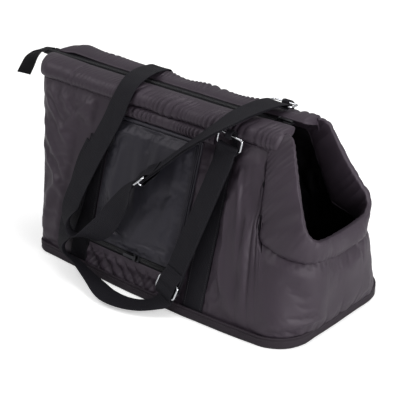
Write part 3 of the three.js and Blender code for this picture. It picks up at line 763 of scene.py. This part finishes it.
def collar_offset(travel, share, outer, slim):
    """How far the padding stands off at a share of its height, outside or inside."""
    full = share ** 0.32 * min(1, max(0, 1.03 - share)) ** 0.40 * 1.30
    if outer:
        tucks = 5.0 * gathers(travel + 9 * share, 10.5, 41) - 3.2
        offset = 12.5 * full * slim + tucks * math.exp(-share / 0.30) * full
        offset = offset + 2.2 * ripples(travel + 8 * share, share * 30, 40, 42) * full
    else:
        offset = -8.5 * full * slim + 0.8 * ripples(travel, share * 30, 70, 44) * full
    near_rim = math.exp(-(1 - share) / 0.5)
    return offset + 2.0 * (gathers(travel + 4 * share, 17, 43) - 0.5) * near_rim


def collar():
    count, around = 260, 36
    edge = front_wall_point(*opening_edge(2400))
    seam = evenly(edge[edge[:, 0] > MOUTH_X - 6], count)
    rim = mouth_line(COLLAR_RIM, COLLAR_LOWEST, count)
    up = rim - seam
    length = np.linalg.norm(up, axis=1, keepdims=True)
    up = up / length
    out = unit(np.cross(up, unit(np.gradient(seam, axis=0))))
    from_inside = seam - MOUTH_MIDDLE
    out = np.where(np.sum(out * from_inside, axis=1, keepdims=True) < 0, -out, out)
    travel = travel_along(seam)
    slim = 0.6 + 0.4 * smooth(np.minimum(travel, travel[-1] - travel) / 70)
    points = np.zeros((count, around, 3))
    for j, turn in enumerate(np.linspace(0, 2 * math.pi, around, endpoint=False)):
        share = (1 - math.cos(turn)) / 2
        offset = collar_offset(travel, share, math.sin(turn) >= 0, slim) - 1.0
        height = -4 + share * (length[:, 0] + 5)
        points[:, j] = seam + up * height[:, None] + out * offset[:, None]
    padded("collar", points)
    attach(cord("collar_piping", seam - out * 2.0 - up * 0.5, 1.5, BANDING), "shell")


# ---- rolls along the top ----
ROLL_PROFILE = [(46, 274.4), (53, 274.8), (57.5, 280), (57, 288), (52, 296.5), (44, 301),
                (34, 302.6), (24, 302.4), (17, 300.6), (13, 297.5), (15, 295.2), (28, 292.4),
                (38, 286.5), (43, 280)]
ROLL_CENTRE = np.array([37.0, 289.0])
ROLL_JOIN_X = -236              # a seam runs across each roll here
ROLL_CLOSING_X = -292           # behind this the rolls sink and draw towards each other
SLIDER_STOP_X = -334            # ahead of this they leave room for the zip slider
SLIDER_CLEAR = 6.6              # half of that room


def roll_rise(x):
    """The rolls' tops rise towards the mouth and a little towards the zip's tail."""
    return 4 * smooth((x - 40) / 130) + 3 * smooth((-200 - x) / 120)


def roll_lift(x, share, side, on_top):
    """Tucks and slack of a roll's cloth, at a share of the way round its profile."""
    ruched = smooth((x + 150) / 40) * smooth((172 - x) / 20)
    tucks = gathers(x + 5 * math.sin(share * 9), 9.5, 51 + side) - 0.72
    loose = ripples(x, share * 60, 70, 53 + side)
    return on_top ** 0.5 * (5.6 * tucks * (0.25 + 0.75 * ruched) + 0.9 * loose)


def top_roll(name, side):
    count, around = 330, 44
    profile = catmull([(y, z, 0) for y, z in ROLL_PROFILE], around, closed=True)[:, :2]
    x = np.linspace(ROLL_REAR_X, ROLL_FRONT_X, count)
    ends = np.minimum(x - ROLL_REAR_X, ROLL_FRONT_X - x)
    swell = np.sqrt(np.clip(1 - (1 - np.clip(ends / 9, 0, 1)) ** 2, 0.10, 1))
    points = np.zeros((count, around, 3))
    for j, (y, z) in enumerate(profile):
        share = j / around
        on_top = math.sin(math.pi * (share / 0.66)) if share < 0.66 else 0.0
        away = np.array([y, z]) - ROLL_CENTRE
        reach = np.hypot(*away)
        lift = roll_lift(x, share, side, on_top) * min(1, max(0.15, (y - 17) / 14))
        radius = (reach * swell + lift) / reach
        yy = ROLL_CENTRE[0] + away[0] * radius
        zz = ROLL_CENTRE[1] + away[1] * radius
        above_seam = np.clip((z - SEAM_Z) / 20, 0, 1)
        zz = zz + roll_rise(x) * above_seam
        zz = zz - 2.6 * on_top * np.exp(-((x - ROLL_JOIN_X) / 2.4) ** 2)
        closing = smooth((ROLL_CLOSING_X - x) / 26)
        zz = zz - 4.5 * closing * above_seam
        yy = lerp(yy, 1.5 + (yy - 13) * 1.12, closing)
        xx = x - closing * 20 * np.clip(1 - yy / SEAM_HALF, 0, 1)
        yy = yy - 3.0 * np.clip((30 - y) / 15, 0, 1) * (1 - closing)
        yy = np.maximum(yy, SLIDER_CLEAR * smooth((xx - SLIDER_STOP_X) / 5))
        points[:, j] = np.stack([xx, side * yy, zz], -1)
    padded(name, points)
    line_x = np.linspace(rear_x(SEAM_Z) + 9, MOUTH_X, 120)
    seam = side_at(line_x, np.full_like(line_x, SEAM_Z - 1.0), side, 0.6)
    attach(cord(f"{name}_piping", seam, 1.3, NYLON), "shell")


# ---- base ----
def mirrored(points):
    return [(x, -y) for x, y in reversed(points)]


def base_outline(count=420):
    """The closed outline of the base, its outward normals and the distance along it."""
    corner_start = FRONT_X - CORNER_R
    rear_start = REAR_X + REAR_CORNER_R
    near = [(x, -base_half(x)) for x in np.linspace(rear_start, corner_start, 60)]
    centre_y = base_half(corner_start) - CORNER_R
    near += [(corner_start + CORNER_R * math.cos(a), -centre_y + CORNER_R * math.sin(a))
             for a in np.linspace(-math.pi / 2, 0, 18)[1:]]
    centre_y = base_half(REAR_X) - REAR_CORNER_R
    rear = [(rear_start + REAR_CORNER_R * math.cos(a), centre_y + REAR_CORNER_R * math.sin(a))
            for a in np.linspace(math.pi / 2, math.pi, 8)[1:]]
    corners = near + mirrored(near) + rear + mirrored(rear)
    closed = np.array([*corners, corners[0]])
    at = np.linspace(0, travel_along(closed)[-1], count, endpoint=False)
    line = resample(closed, at)
    tangent = unit(np.roll(line, -1, 0) - np.roll(line, 1, 0))
    normal = np.stack([tangent[:, 1], -tangent[:, 0]], -1)
    return line, normal, at


def base_ring(off, z):
    line, normal, _ = base_outline()
    flat = line + normal * np.reshape(off, (-1, 1))
    return np.column_stack([flat, np.broadcast_to(z, (len(flat),))])


def base_parts():
    profile = [(-3, 1.5), (-1.5, 0.3), (0.6, 0.5), (1.6, 2.5), (2.0, 6), (1.9, 11), (1.4, 14.5),
               (0.4, BAND_H), (-1.2, BAND_H - 0.6), (-3, BAND_H - 2)]
    *_, at = base_outline()
    wave = 0.35 * ripples(at, 0 * at, 60, 61)
    points = np.stack([base_ring(off + wave * (off > 0), z) for off, z in profile], 1)
    band = grid_object("base_band", points, (0, 0, 1), [BANDING], wrap_u=True, wrap_v=True)
    dress(band, "base_binding")
    piping = cord("base_piping", base_ring(0.6, BAND_H + 1.0), 1.7, BANDING, closed=True)
    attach(piping, "shell")
    for k, row in enumerate([base_ring(2.5, 4.0), base_ring(2.3, BAND_H - 3.2)]):
        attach(stitches(f"base_band_stitching_{k}", np.vstack([row, row[:1]])), "shell")
    under_sheet()
    paint("base_board", BOARD)
    cushion()


def under_sheet():
    """The cloth under the base, a little hollow between its bound edges."""
    line, *_ = base_outline()
    rings = []
    for share in np.linspace(0.03, 0.985, 26):
        flat = line * share
        rise = 1.6 * (1 - share ** 6) + 0.25 * ripples(flat[:, 0], flat[:, 1], 70, 71)
        rings.append(np.column_stack([flat, 0.4 + np.maximum(rise, 0)]))
    points = np.stack(rings, 1)
    obj = grid_object("base_under_panel", points, (0, 0, -1), [NYLON, LINING], wrap_u=True)
    thicken(obj, 0.5)
    subdivide(obj)
    dress(obj, "base_panel")


def cushion():
    """The loose floor cushion: crowned, pulled in at its edges, with two sewn channels."""
    line, *_ = base_outline()
    upper, lower = [], []
    shares = np.linspace(0.02, 0.90, 40)
    full = 9.5
    for share in shares:
        flat = line * share
        x = flat[:, 0]
        rim = share / shares[-1]
        crown = full * np.sqrt(max(0.0, 1 - rim ** 5))
        channel = 3.5 * sum(np.exp(-((x - seam_x) / 9) ** 2) for seam_x in (90, -90))
        puff = 0.9 * ripples(x, flat[:, 1], 80, 81) * (1 - rim ** 4)
        upper.append(np.column_stack([flat, 16 + crown + puff - channel * (crown / full)]))
        lower.append(np.column_stack([flat, np.full(len(flat), 15.5 - 0.9 * crown)]))
    points = np.stack(upper + lower[::-1], 1)
    obj = grid_object("base_cushion", points, (0, 0, 1), [LINING], wrap_u=True, wrap_v=True)
    dress(obj, "base_cushion")


# ---- webbing straps ----
def strap_points(stations, per_span, width, thickness, cup=0.6):
    """Points of a strap with rounded edges through (point, across) stations."""
    ats = np.array([s[0] for s in stations], float)
    acrosses = np.array([s[1] for s in stations], float)
    spans = len(stations) - 1
    count = spans * per_span + 1
    line = catmull(ats, count)
    along = unit(np.gradient(line, axis=0))
    t = np.linspace(0, spans, count)
    k = np.minimum(t.astype(int), spans - 1)
    w = (t - k)[:, None]
    across = acrosses[k] * (1 - w) + acrosses[k + 1] * w
    across = unit(across - along * np.sum(across * along, axis=1, keepdims=True))
    normal = np.cross(across, along)
    half, rim = width / 2, thickness / 2
    left = [(-half, 0.0), (-half + 0.25, 0.8), (-half + 1.2, 1.0), (-half * 0.62, 0.94),
            (-half * 0.3, 0.98)]
    row = left + [(0, 0.92)] + [(-a, b) for a, b in reversed(left)]
    loop = row + [(a, -b) for a, b in reversed(row[1:-1])]
    points = np.zeros((count, len(loop), 3))
    for j, (a, b) in enumerate(loop):
        bend = cup * (1 - (2 * a / width) ** 2)
        points[:, j] = line + across * a + normal * (b * rim + bend)
    return points, line, across, normal


def strap(name, stations, per_span=6, width=WEB_W, thickness=WEB_T, material=WEBBING, cup=0.4):
    points, *_ = strap_points(stations, per_span, width, thickness, cup)
    return grid_object(name, points, (0, 0, 1), [material], wrap_v=True, caps=True)


STITCH_OUT = 15.5               # stitches of a strap lie this far from its middle line


def sewn_webbing(name, side, centre_x, top_z):
    """Webbing sewn flat to a side wall, from under the base band to top_z."""
    stations = [(side_at(centre_x, z, side, 1.35), (-side, 0, 0))
                for z in np.linspace(12, top_z, 9)]
    dress(strap(name, stations, per_span=5, cup=0.0), name)
    z = np.linspace(18, top_z - 4, 60)
    rows = [stitches(f"{name}_row_{edge}", side_at(centre_x + edge * STITCH_OUT, z, side, 2.2))
            for edge in (-1, 1)]
    low, high = top_z - 30, top_z - 6
    box = [(-13, low), (13, low), (13, high), (-13, high),
           (-13, low), (13, high), (13, low), (-13, high)]
    corners = [side_at(centre_x + dx, z, side, 2.2) for dx, z in box]
    rows.append(stitches(f"{name}_box", densify(corners, 2)))
    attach(join(f"{name}_stitching", rows), "shell")


def densify(points, step):
    """A line through the points, with more of them at about every `step`."""
    out = []
    for a, b in zip(points[:-1], points[1:]):
        count = max(2, int(np.linalg.norm(np.subtract(b, a)) / step))
        out += [lerp(np.asarray(a, float), np.asarray(b, float), k / count) for k in range(count)]
    return np.array([*out, points[-1]])


# ---- rings, handles and adjusters ----
NEAR_BAR, FAR_BAR = np.array([101, -65, 286.0]), np.array([118, 46, 309.0])
NEAR_HANG, FAR_HANG = unit([-0.16, -0.1, -0.98]), unit([0, -0.99, 0.12])
RING_HALF_W, RING_HALF_H = 22.5, 10
WIRE_R = 1.6
STRAP_GAP = 2.4
X_AXIS = np.array([1.0, 0, 0])


def across_of(along):
    return unit(X_AXIS - along * np.dot(X_AXIS, along))


def rounded_frame(centre, a, b, half_a, half_b, corner):
    """Points round a rounded rectangle in the plane of a and b."""
    points = []
    for sa, sb, start in ((1, 1, 0), (-1, 1, 90), (-1, -1, 180), (1, -1, 270)):
        for turn in np.radians(start + np.linspace(0, 90, 9)):
            pa = sa * (half_a - corner) + corner * math.cos(turn)
            pb = sb * (half_b - corner) + corner * math.sin(turn)
            points.append(centre + a * pa + b * pb)
    return densify(points + [points[0]], 3)[:-1]


def wire_ring(name, bar, hang, body):
    """A rectangular ring that hangs from its tab's bar in the direction `hang`."""
    centre = bar + hang * RING_HALF_H
    path = rounded_frame(centre, across_of(hang), hang, RING_HALF_W, RING_HALF_H, 4.5)
    dress(cord(name, path, WIRE_R, NICKEL, sides=14, closed=True), name, body)


def turn_round_bar(bar, hang, outward):
    """Stations of a strap's turn round the lower bar of its ring."""
    low = bar + hang * 2 * RING_HALF_H
    loop = WIRE_R + WEB_T / 2 + 1.5
    across = across_of(hang)
    diagonal = loop * math.sqrt(0.5)
    places = [(2, -loop), (-diagonal, -diagonal), (-loop, 0), (-diagonal, diagonal), (2, loop)]
    return [(low + hang * down + outward * away, across) for down, away in places]


def layer_behind(stations):
    """The stations of a strap's returning layer, nearer to the bag, in reverse."""
    layer = []
    for i, (at, across) in enumerate(stations):
        ahead = stations[min(i + 1, len(stations) - 1)][0]
        before = stations[max(i - 1, 0)][0]
        along = unit(np.subtract(ahead, before))
        inwards = unit(np.cross(along, across))
        layer.append((np.asarray(at, float) - inwards * STRAP_GAP, across))
    return layer[::-1]


def straight_run(start, end, across, count):
    start, end = np.array(start, float), np.array(end, float)
    return [(lerp(start, end, i / (count - 1)), across) for i in range(count)]


NEAR_LEG = straight_run((97, -74, 257), (38, -148, 24), (1, -0.12, 0.1), 6)
NEAR_LOOP = [
    ((27, -157, 15), (0.85, -0.5, 0.1)),
    ((11, -167, 10), (0.55, -0.8, 0.05)),
    ((-14, -176, 8), (0.2, -0.98, 0.05)),
    ((-52, -177, 8), (0, -1, 0.05)),
    ((-96, -162, 12), (0.25, -0.95, 0.25)),
    ((-140, -151, 24), (0.4, -0.85, 0.4)),
    ((-181, -142, 36), (0.8, -0.5, 0.15)),
    ((-193, -121, 62), (1, -0.1, 0.1)),
    ((-189, -112, 92), (1, 0, 0)),
    ((-177, -89, 172), (1, 0, 0.14)),
    ((-168, -78.5, 201), (1, 0.03, 0.28)),
]
FAR_LEG_TOP = [
    ((113, 12, 317), (0.97, -0.22, 0)),
    ((106, -12, 315.5), (0.94, -0.34, 0)),
    ((99, -36, 312), (0.88, -0.48, 0)),
    ((92, -59, 306), (0.78, -0.62, 0)),
    ((80, -74, 296), (0.64, -0.77, 0)),
    ((58, -80, 278.5), (0.5, -0.87, 0)),
]
FAR_LEG_LOW = straight_run((30, -83, 255), (-48, -114, 179), (0.38, -0.92, -0.02), 4)
FAR_LOOP = [
    ((-63, -119, 158), (0.7, -0.55, -0.4)),
    ((-79, -126, 130), (0.85, -0.1, -0.5)),
    ((-101, -140, 94), (0.75, 0.4, -0.5)),
    ((-134, -152, 74), (0.2, 0.9, -0.3)),
    ((-166, -143, 82), (-0.7, 0.6, -0.4)),
    ((-181, -124, 104), (-1, 0.1, 0)),
    ((-165, -96, 172), (-1, 0, -0.1)),
    ((-133, -72, 250), (-1, 0, -0.2)),
    ((-122, -63, 283), (-1, 0, -0.2)),
    ((-119, -50, 302), (-1, 0, -0.1)),
    ((-123, -26, 310), (-1, 0, 0)),
    ((-130, 8, 310), (-1, 0, 0)),
    ((-135, 42, 304.5), (-1, 0, 0)),
]
FAR_END = [
    ((-136.5, 52, 300.5), (-1, 0, 0)),
    ((-138, 60, 289), (-1, 0, 0)),
    ((-144, 62, 268), (-1, 0, 0)),
    ((-164, 76, 209), (-1, 0, 0)),
]
ADJUSTER_UP = 20                # distance of an adjuster's middle from its leg's lower end


def leg_frame(leg):
    """An adjuster's middle on a leg, and the directions along and across the strap."""
    end, before = np.asarray(leg[-1][0]), np.asarray(leg[-2][0])
    along = unit(end - before)
    across = np.asarray(leg[-1][1], float)
    across = unit(across - along * np.dot(across, along))
    return end - along * ADJUSTER_UP, along, across


def adjuster(name, leg, body, node):
    """A wire frame over the strap with a cross bar behind it, and the strap's sewn end."""
    centre, along, across = leg_frame(leg)
    out = unit(np.cross(along, across))
    half_w, half_h, lift = WEB_W / 2 + 3.6, 11, 3.4
    bar_r = WIRE_R * 0.9
    bar_z = -(STRAP_GAP + WEB_T / 2 + 0.5 + WIRE_R)
    ring = rounded_frame(centre + out * lift, across, along, half_w, half_h, 5)
    loop = cord(f"{name}_frame", ring, WIRE_R, NICKEL, sides=14, closed=True)
    bend = [(-half_w, lift), (-half_w, bar_z * 0.6), (-half_w * 0.8, bar_z), (0, bar_z),
            (half_w * 0.8, bar_z), (half_w, bar_z * 0.6), (half_w, lift)]
    path = catmull([centre + across * w + out * h for w, h in bend], 60)
    bar = cord(f"{name}_bar", path, bar_r, NICKEL, sides=14)
    dress(join(node, [loop, bar]), node, body)

    under = bar_r + WEB_T / 2 + 0.2
    round_bar = [(-30, under), (-12, under), (0, under), (under, 0), (0, -under),
                 (-12, -under * 0.8), (-30, -under * 0.5)]
    wrap = [(centre + out * bar_z + along * a + out * h, across) for a, h in round_bar]
    end = strap(f"{name}_sewn_end", wrap, width=WEB_W - 2, thickness=1.3)
    over = [(-30, 1.4), (-22, 2.0), (-14, 5.6), (-8, 6.6), (0, 5.4), (8, 6.6), (13, 5.2),
            (18, 1.4)]
    hump = [(centre + along * a + out * h, across) for a, h in over]
    cover = strap(f"{name}_strap_over", hump, per_span=5, thickness=1.4)
    for piece in (end, cover):
        dress(piece, body=body)


def handle_return(name, leg, body):
    """The strap's inner layer from above down to the adjuster, which it follows."""
    centre, along, _ = leg_frame(leg)
    top, across = np.asarray(leg[0][0], float), leg[0][1]
    length = np.linalg.norm(centre - top) - 12
    inwards = unit(np.cross(along, np.asarray(across, float)))
    start = top - inwards * STRAP_GAP
    obj = strap(name, straight_run(start, start + along * length, across, 5))
    dress(obj, body=body)
    tuple(along)
    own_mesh(obj)


def handle(which, bar, hang, leg, upper_return, free_leg, loop):
    """A ring, the strap that turns round it, and the adjuster on the strap's free leg."""
    body = f"{which}_handle"
    wire_ring(f"ring_{which}", bar, hang, body)
    turn = turn_round_bar(bar, hang, -np.cross(across_of(hang), hang))
    obj = strap(f"handle_{which}", [*upper_return, *turn, *leg, *loop], per_span=8)
    dress(obj, f"handle_{which}", body)
    handle_return(f"handle_{which}_return", free_leg, body)
    adjuster(f"{which}_adjuster", free_leg, f"{which}_adjuster", f"adjuster_{which}")


def handles():
    handle("near", NEAR_BAR, NEAR_HANG, NEAR_LEG, layer_behind(NEAR_LEG)[-1:], NEAR_LEG,
           NEAR_LOOP)
    far_leg = FAR_LEG_TOP + FAR_LEG_LOW
    handle("far", FAR_BAR, FAR_HANG, far_leg, layer_behind(far_leg)[3:], FAR_LEG_LOW,
           FAR_LOOP)
    end = strap("handle_far_end", [FAR_LOOP[-1], *FAR_END], per_span=8)
    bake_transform(end)
    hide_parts("handle_far_end")


def ring_tabs():
    def round_bar(bar, radius, side, degrees):
        return [(bar + [0, side * radius * math.cos(a), radius * math.sin(a)], (-side, 0, 0))
                for a in np.radians(degrees)]

    def sewn(bar, side):
        return [(side_at(bar[0], z, side, 1.6), (-side, 0, 0)) for z in (259, 267)]

    def over_roll(*places):
        return [((FAR_BAR[0], y, z), (-1, 0, 0)) for y, z in places]

    near = sewn(NEAR_BAR, NEAR) + round_bar(NEAR_BAR, 7.4, NEAR, [196, 150, 100, 50, 0, -30])
    far = sewn(FAR_BAR, FAR) + over_roll((61, 284), (57, 299))
    far += round_bar(FAR_BAR, 3, FAR, [-70, -130, 180, 130, 80])
    far += over_roll((53, 310), (60, 304))
    for name, stations in (("ring_tab_near", near), ("ring_tab_far", far)):
        dress(strap(name, stations, width=TAB_W, cup=0.1), name)


# ---- zips ----
def zip_coil(name, place, x0, x1):
    """One half of a nylon coil: small loops side by side along its tape."""
    pitch = 1.7
    one_loop = ((-0.3, 3.2, 0.2), (-0.2, 1.6, 1.2), (0, 0.3, 0.9), (0.2, 0.2, -0.4),
                (0.3, 1.8, -1.0))
    middles = [x0 + (k + 0.5) * pitch for k in range(int((x1 - x0) / pitch))]
    paths = [[place(x + dx, away, lift) for dx, away, lift in one_loop] for x in middles]
    return small_tubes(name, paths, 0.62, 6, COIL)


def zip_tape(name, origin, along, side, up, x0, x1, width):
    """One tape of a zip, woven and slightly wavy, with its half of the coil."""
    def place(x, away, lift):
        return origin + np.outer(x, along) + side * away + np.outer(lift, up)

    xs = np.linspace(x0, x1, int((x1 - x0) / 4))
    points = [place(xs, away, 0.15 * np.sin(xs / 9.0) * (away / width))
              for away in (2.4, 4, 7, 10, width)]
    tape = grid_object(f"{name}_cloth", np.stack(points, 1), up, [TAPE])
    thicken(tape, 0.9)
    dress(tape, name)
    coil = zip_coil(f"{name}_coil", lambda *at: place(*at)[0], x0, x1)
    dress(coil)


POCKET_ZIP_OUT = 5.2            # the pocket zip stands this far off the side wall


def zips():
    origin, up = np.array([0, 0, float(ZIP_Z)]), np.array([0, 0, 1.0])
    for name, side in (("zip_tape_near", NEAR), ("zip_tape_far", FAR)):
        away = np.array([0, side, 0.0])
        zip_tape(name, origin, X_AXIS, away, up, ZIP_REAR_X, ZIP_FRONT_X, 15)
    start, end, above = (side_at(x, z, NEAR, POCKET_ZIP_OUT) for x, z in (
        (POCKET_X0, POCKET_ZIP_Z), (POCKET_X1, POCKET_ZIP_Z), (POCKET_X0, POCKET_ZIP_Z + 1)))
    along = unit(end - start)
    rise = above - start
    rise = unit(rise - along * np.dot(rise, along))
    out = np.cross(along, rise)
    length = np.linalg.norm(end - start)
    for name, side in (("pocket_tape_lower", -rise), ("pocket_tape_upper", rise)):
        zip_tape(name, start, along, side, out, 0.0, length, 13)
    for node in ("zip_slider", "zip_pull", "pocket_slider", "pocket_pull"):
        paint(node, DARK_METAL)
    zip_tail()


def zip_tail():
    stations = [((ZIP_REAR_X - 0.4, 0, ZIP_Z), (0, 1, 0)), ((-362, 0, 293), (0.1, 1, 0)),
                ((-384, 0, 276), (0.32, 0.92, -0.12)), ((-397, 0, 256), (0.5, 0.83, -0.25)),
                ((-407, 0, 240), (0.58, 0.77, -0.28))]
    width = 24
    tail = strap("zip_tail", stations, per_span=7, width=width, thickness=2.4, material=TAPE)
    dress(tail, "zip_tail")
    _, line, across, normal = strap_points(stations, 6, width, WEB_T)
    rows = [stitches(f"zip_tail_stitching_{k}", line + across * reach + normal * 1.6)
            for k, reach in enumerate((-9.5, 9.5))]
    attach(join("zip_tail_stitching", rows), "shell")


# ---- pocket ----
def near_patch(x0, x1, z0, z1, nu, nv):
    u, v = unit_grid(nu, nv)
    return lerp(x0, x1, u), lerp(z0, z1, v), u, v


def patch(name, material, x, z, height, thickness, held=None):
    """A sheet of the pocket, standing off the near wall by `height`."""
    obj = grid_object(name, side_at(x, z, NEAR, height), (0, -1, 0.3), [material])
    if held is not None:
        settle(obj, held, 1.5, 0.03, 5)
    thicken(obj, thickness)
    subdivide(obj)
    dress(obj, name)


POCKET_FOLDS = [((12, 240), (2, 90), 8, 2.2), ((-30, 250), (-42, 150), 7, 1.8),
                ((-70, 246), (-60, 120), 9, 1.8), ((-105, 244), (-112, 90), 8, 2.0),
                ((24, 180), (16, 60), 6, 2.2), ((-20, 140), (-60, 62), 8, 1.6)]


def pocket_panel():
    x, z, u, v = near_patch(POCKET_X0, POCKET_X1, POCKET_ZIP_Z + ZIP_LIP, POCKET_TOP_Z, 60, 66)
    inside = smooth(u / 0.12) * smooth((1 - u) / 0.1) * smooth(v / 0.1) * smooth((1 - v) / 0.1)
    height = 2.6 + 5.0 * inside + 0.7 * ripples(x, z, 90, 91) * inside
    height = add_folds(height, x, z, POCKET_FOLDS)
    height += puckers(x, np.abs(z - POCKET_TOP_Z), 0.2, 20, 18, 1.4, 92)
    height += ZIP_LIP * (1 - smooth((v - 0.045) / 0.08))
    held = (u < 0.03) | (u > 0.97) | (v < 0.03) | (v > 0.97)
    patch("pocket_panel", POCKET, x, z, height, 1.8, held)


def pocket_foot():
    """The ruched strip between the pocket zip and the base."""
    x, z, _, v = near_patch(POCKET_X0, POCKET_X1, 9, POCKET_ZIP_Z - ZIP_LIP - 0.8, 130, 26)
    tucks = gathers(x + 0.9 * (z - 20), 27, 94) + 0.35 * gathers(x - 0.7 * z, 12, 95)
    height = 1.4 + 4.8 * smooth((v - 0.45) / 0.3)
    height += 8.0 * (tucks - 0.35) * smooth(v / 0.25) * smooth((0.98 - v) / 0.3)
    patch("pocket_foot", NYLON, x, z, height, 1.5)


def pocket_welt():
    """The bound edge along the top of the pocket."""
    x, z, _, v = near_patch(POCKET_X0, POCKET_X1 + 1, POCKET_TOP_Z - 0.5, HEADER_Z, 60, 9)
    height = 1.2 + 4.2 * np.sin(v * math.pi) ** 0.5 + 0.3 * ripples(x, z, 40, 96)
    patch("pocket_welt", POCKET, x, z, height, 1.0)


def pocket_gusset():
    """Two folds of cloth along the front edge of the pocket."""
    x, z, u, _ = near_patch(POCKET_X1 + 0.4, POCKET_X1 + 7.4, 12, POCKET_TOP_Z + 6, 11, 80)
    height = 1.0 + 3.6 * np.abs(np.sin(u * 2 * math.pi)) ** 0.6 + 0.35 * ripples(z, x, 36, 97)
    patch("pocket_gusset", POCKET, x, z, height, 1.0)


def pocket_header():
    """The ruched strip between the pocket and the roll."""
    x, z, _, v = near_patch(POCKET_X0 - 2, HEADER_FRONT_X, HEADER_Z, SEAM_Z, 170, 18)
    tucks = gathers(x + 3 * np.sin(v * 3), 9, 98)
    height = 0.8 + (4.0 + 5.0 * tucks) * np.sin(v * math.pi) ** 0.5
    patch("pocket_header", NYLON, x, z, height, 1.2)


def pocket_stitching():
    """A row of stitches down the pocket's front edge and one along its top."""
    z = np.linspace(POCKET_ZIP_Z + 10, POCKET_TOP_Z - 3, 80)
    x = np.linspace(POCKET_X0 + 3, POCKET_X1 - 4, 80)
    beside = stitches("pocket_row_a", side_at(POCKET_X1 - 4, z, NEAR, 4.6))
    below = stitches("pocket_row_b", side_at(x, POCKET_TOP_Z - 4, NEAR, 4.4))
    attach(join("pocket_stitching", [beside, below]), "shell")


def pocket():
    pocket_panel()
    pocket_foot()
    pocket_welt()
    pocket_gusset()
    pocket_header()
    pocket_stitching()


# ---- build ----
SIDES = (("near", NEAR), ("far", FAR))
for word, side in SIDES:
    side_panel(f"side_panel_{word}", side)
rear_panel()
front_panel()
collar()
for word, side in SIDES:
    top_roll(f"top_roll_{word}", side)
base_parts()
for word, side in SIDES:
    sewn_webbing(f"webbing_{word}_front", side, WEB_FRONT_X, WEB_FRONT_TOP_Z)
    sewn_webbing(f"webbing_{word}_rear", side, WEB_REAR_X, WEB_REAR_TOP_Z)
pocket()
zips()
ring_tabs()
handles()


# ---- studio ----
FLOOR_HALF = 6000
LOOK_AT = np.array([-0.0134, 0, 0.1203])    # metres, as the lights and the camera are
CAMERA_AWAY = 2.393


def white_floor():
    """A floor that takes the bag's shadow and looks white to the camera."""
    shader = Shader("pale_floor")
    seen = shader.node("LightPath").outputs["Is Camera Ray"]
    grain = shader.noise(shader.place, 30, 2.0)
    shader.set(Base_Color=(0.9, 0.9, 0.9, 1), Specular_IOR_Level=0.1,
               Roughness=shader.spread(grain, 0.75, 0.85), Emission_Color=(1, 1, 1, 1),
               Emission_Strength=shader.math("MULTIPLY", seen, 0.42))
    corners = [(FLOOR_HALF * x, FLOOR_HALF * y, 0) for x, y in ((-1, -1), (1, -1), (1, 1), (-1, 1))]
    link("floor", corners, [(0, 1, 2, 3)], None, [shader.material])


def white_world():
    """A world that is white to the camera and lights the bag more dimly."""
    world = bpy.data.worlds.new("studio")
    world.use_nodes = True
    nodes, links = world.node_tree.nodes, world.node_tree.links
    background = nodes["Background"]
    background.inputs["Color"].default_value = (1, 1, 1, 1)
    seen = nodes.new("ShaderNodeLightPath").outputs["Is Camera Ray"]
    strength = nodes.new("ShaderNodeMapRange")
    strength.inputs["To Min"].default_value = 0.40
    strength.inputs["To Max"].default_value = 1.0
    links.new(seen, strength.inputs["Value"])
    links.new(strength.outputs[0], background.inputs["Strength"])
    bpy.context.scene.world = world


def look_from(obj, place, aim):
    """Puts a light or a camera in the scene, facing along `aim`."""
    obj.location = place
    obj.rotation_mode = "QUATERNION"
    obj.rotation_quaternion = Vector(aim).to_track_quat("-Z", "Y")
    bpy.context.scene.collection.objects.link(obj)


def area(name, place, target, size, power):
    """A square light, in metres and watts."""
    light = bpy.data.lights.new(name, "AREA")
    light.shape, light.size, light.energy = "SQUARE", size, power
    look_from(bpy.data.objects.new(name, light), place, np.subtract(target, place))


def lights():
    area("key_light", (-1.2, -1.1, 1.9), (0, 0, 0.15), 1.2, 17)
    area("side_light", (2.2, -0.3, 0.9), (0.1, 0, 0.12), 1.2, 38)
    area("top_light", (0.3, 0.7, 2.1), (0, 0, 0.2), 1.4, 16)


def long_lens_camera():
    """A long lens, 40 degrees round from the near side and 26 degrees up."""
    azimuth, elevation = math.radians(40.0), math.radians(25.8)
    back = np.array([math.sin(azimuth) * math.cos(elevation),
                     -math.cos(azimuth) * math.cos(elevation), math.sin(elevation)])
    camera = bpy.data.objects.new("camera", bpy.data.cameras.new("camera"))
    camera.data.sensor_width, camera.data.lens = 36, 135
    look_from(camera, LOOK_AT + back * CAMERA_AWAY, -back)
    bpy.context.scene.camera = camera


white_floor()
white_world()
lights()
long_lens_camera()
bpy.context.scene.view_settings.view_transform = "Standard"
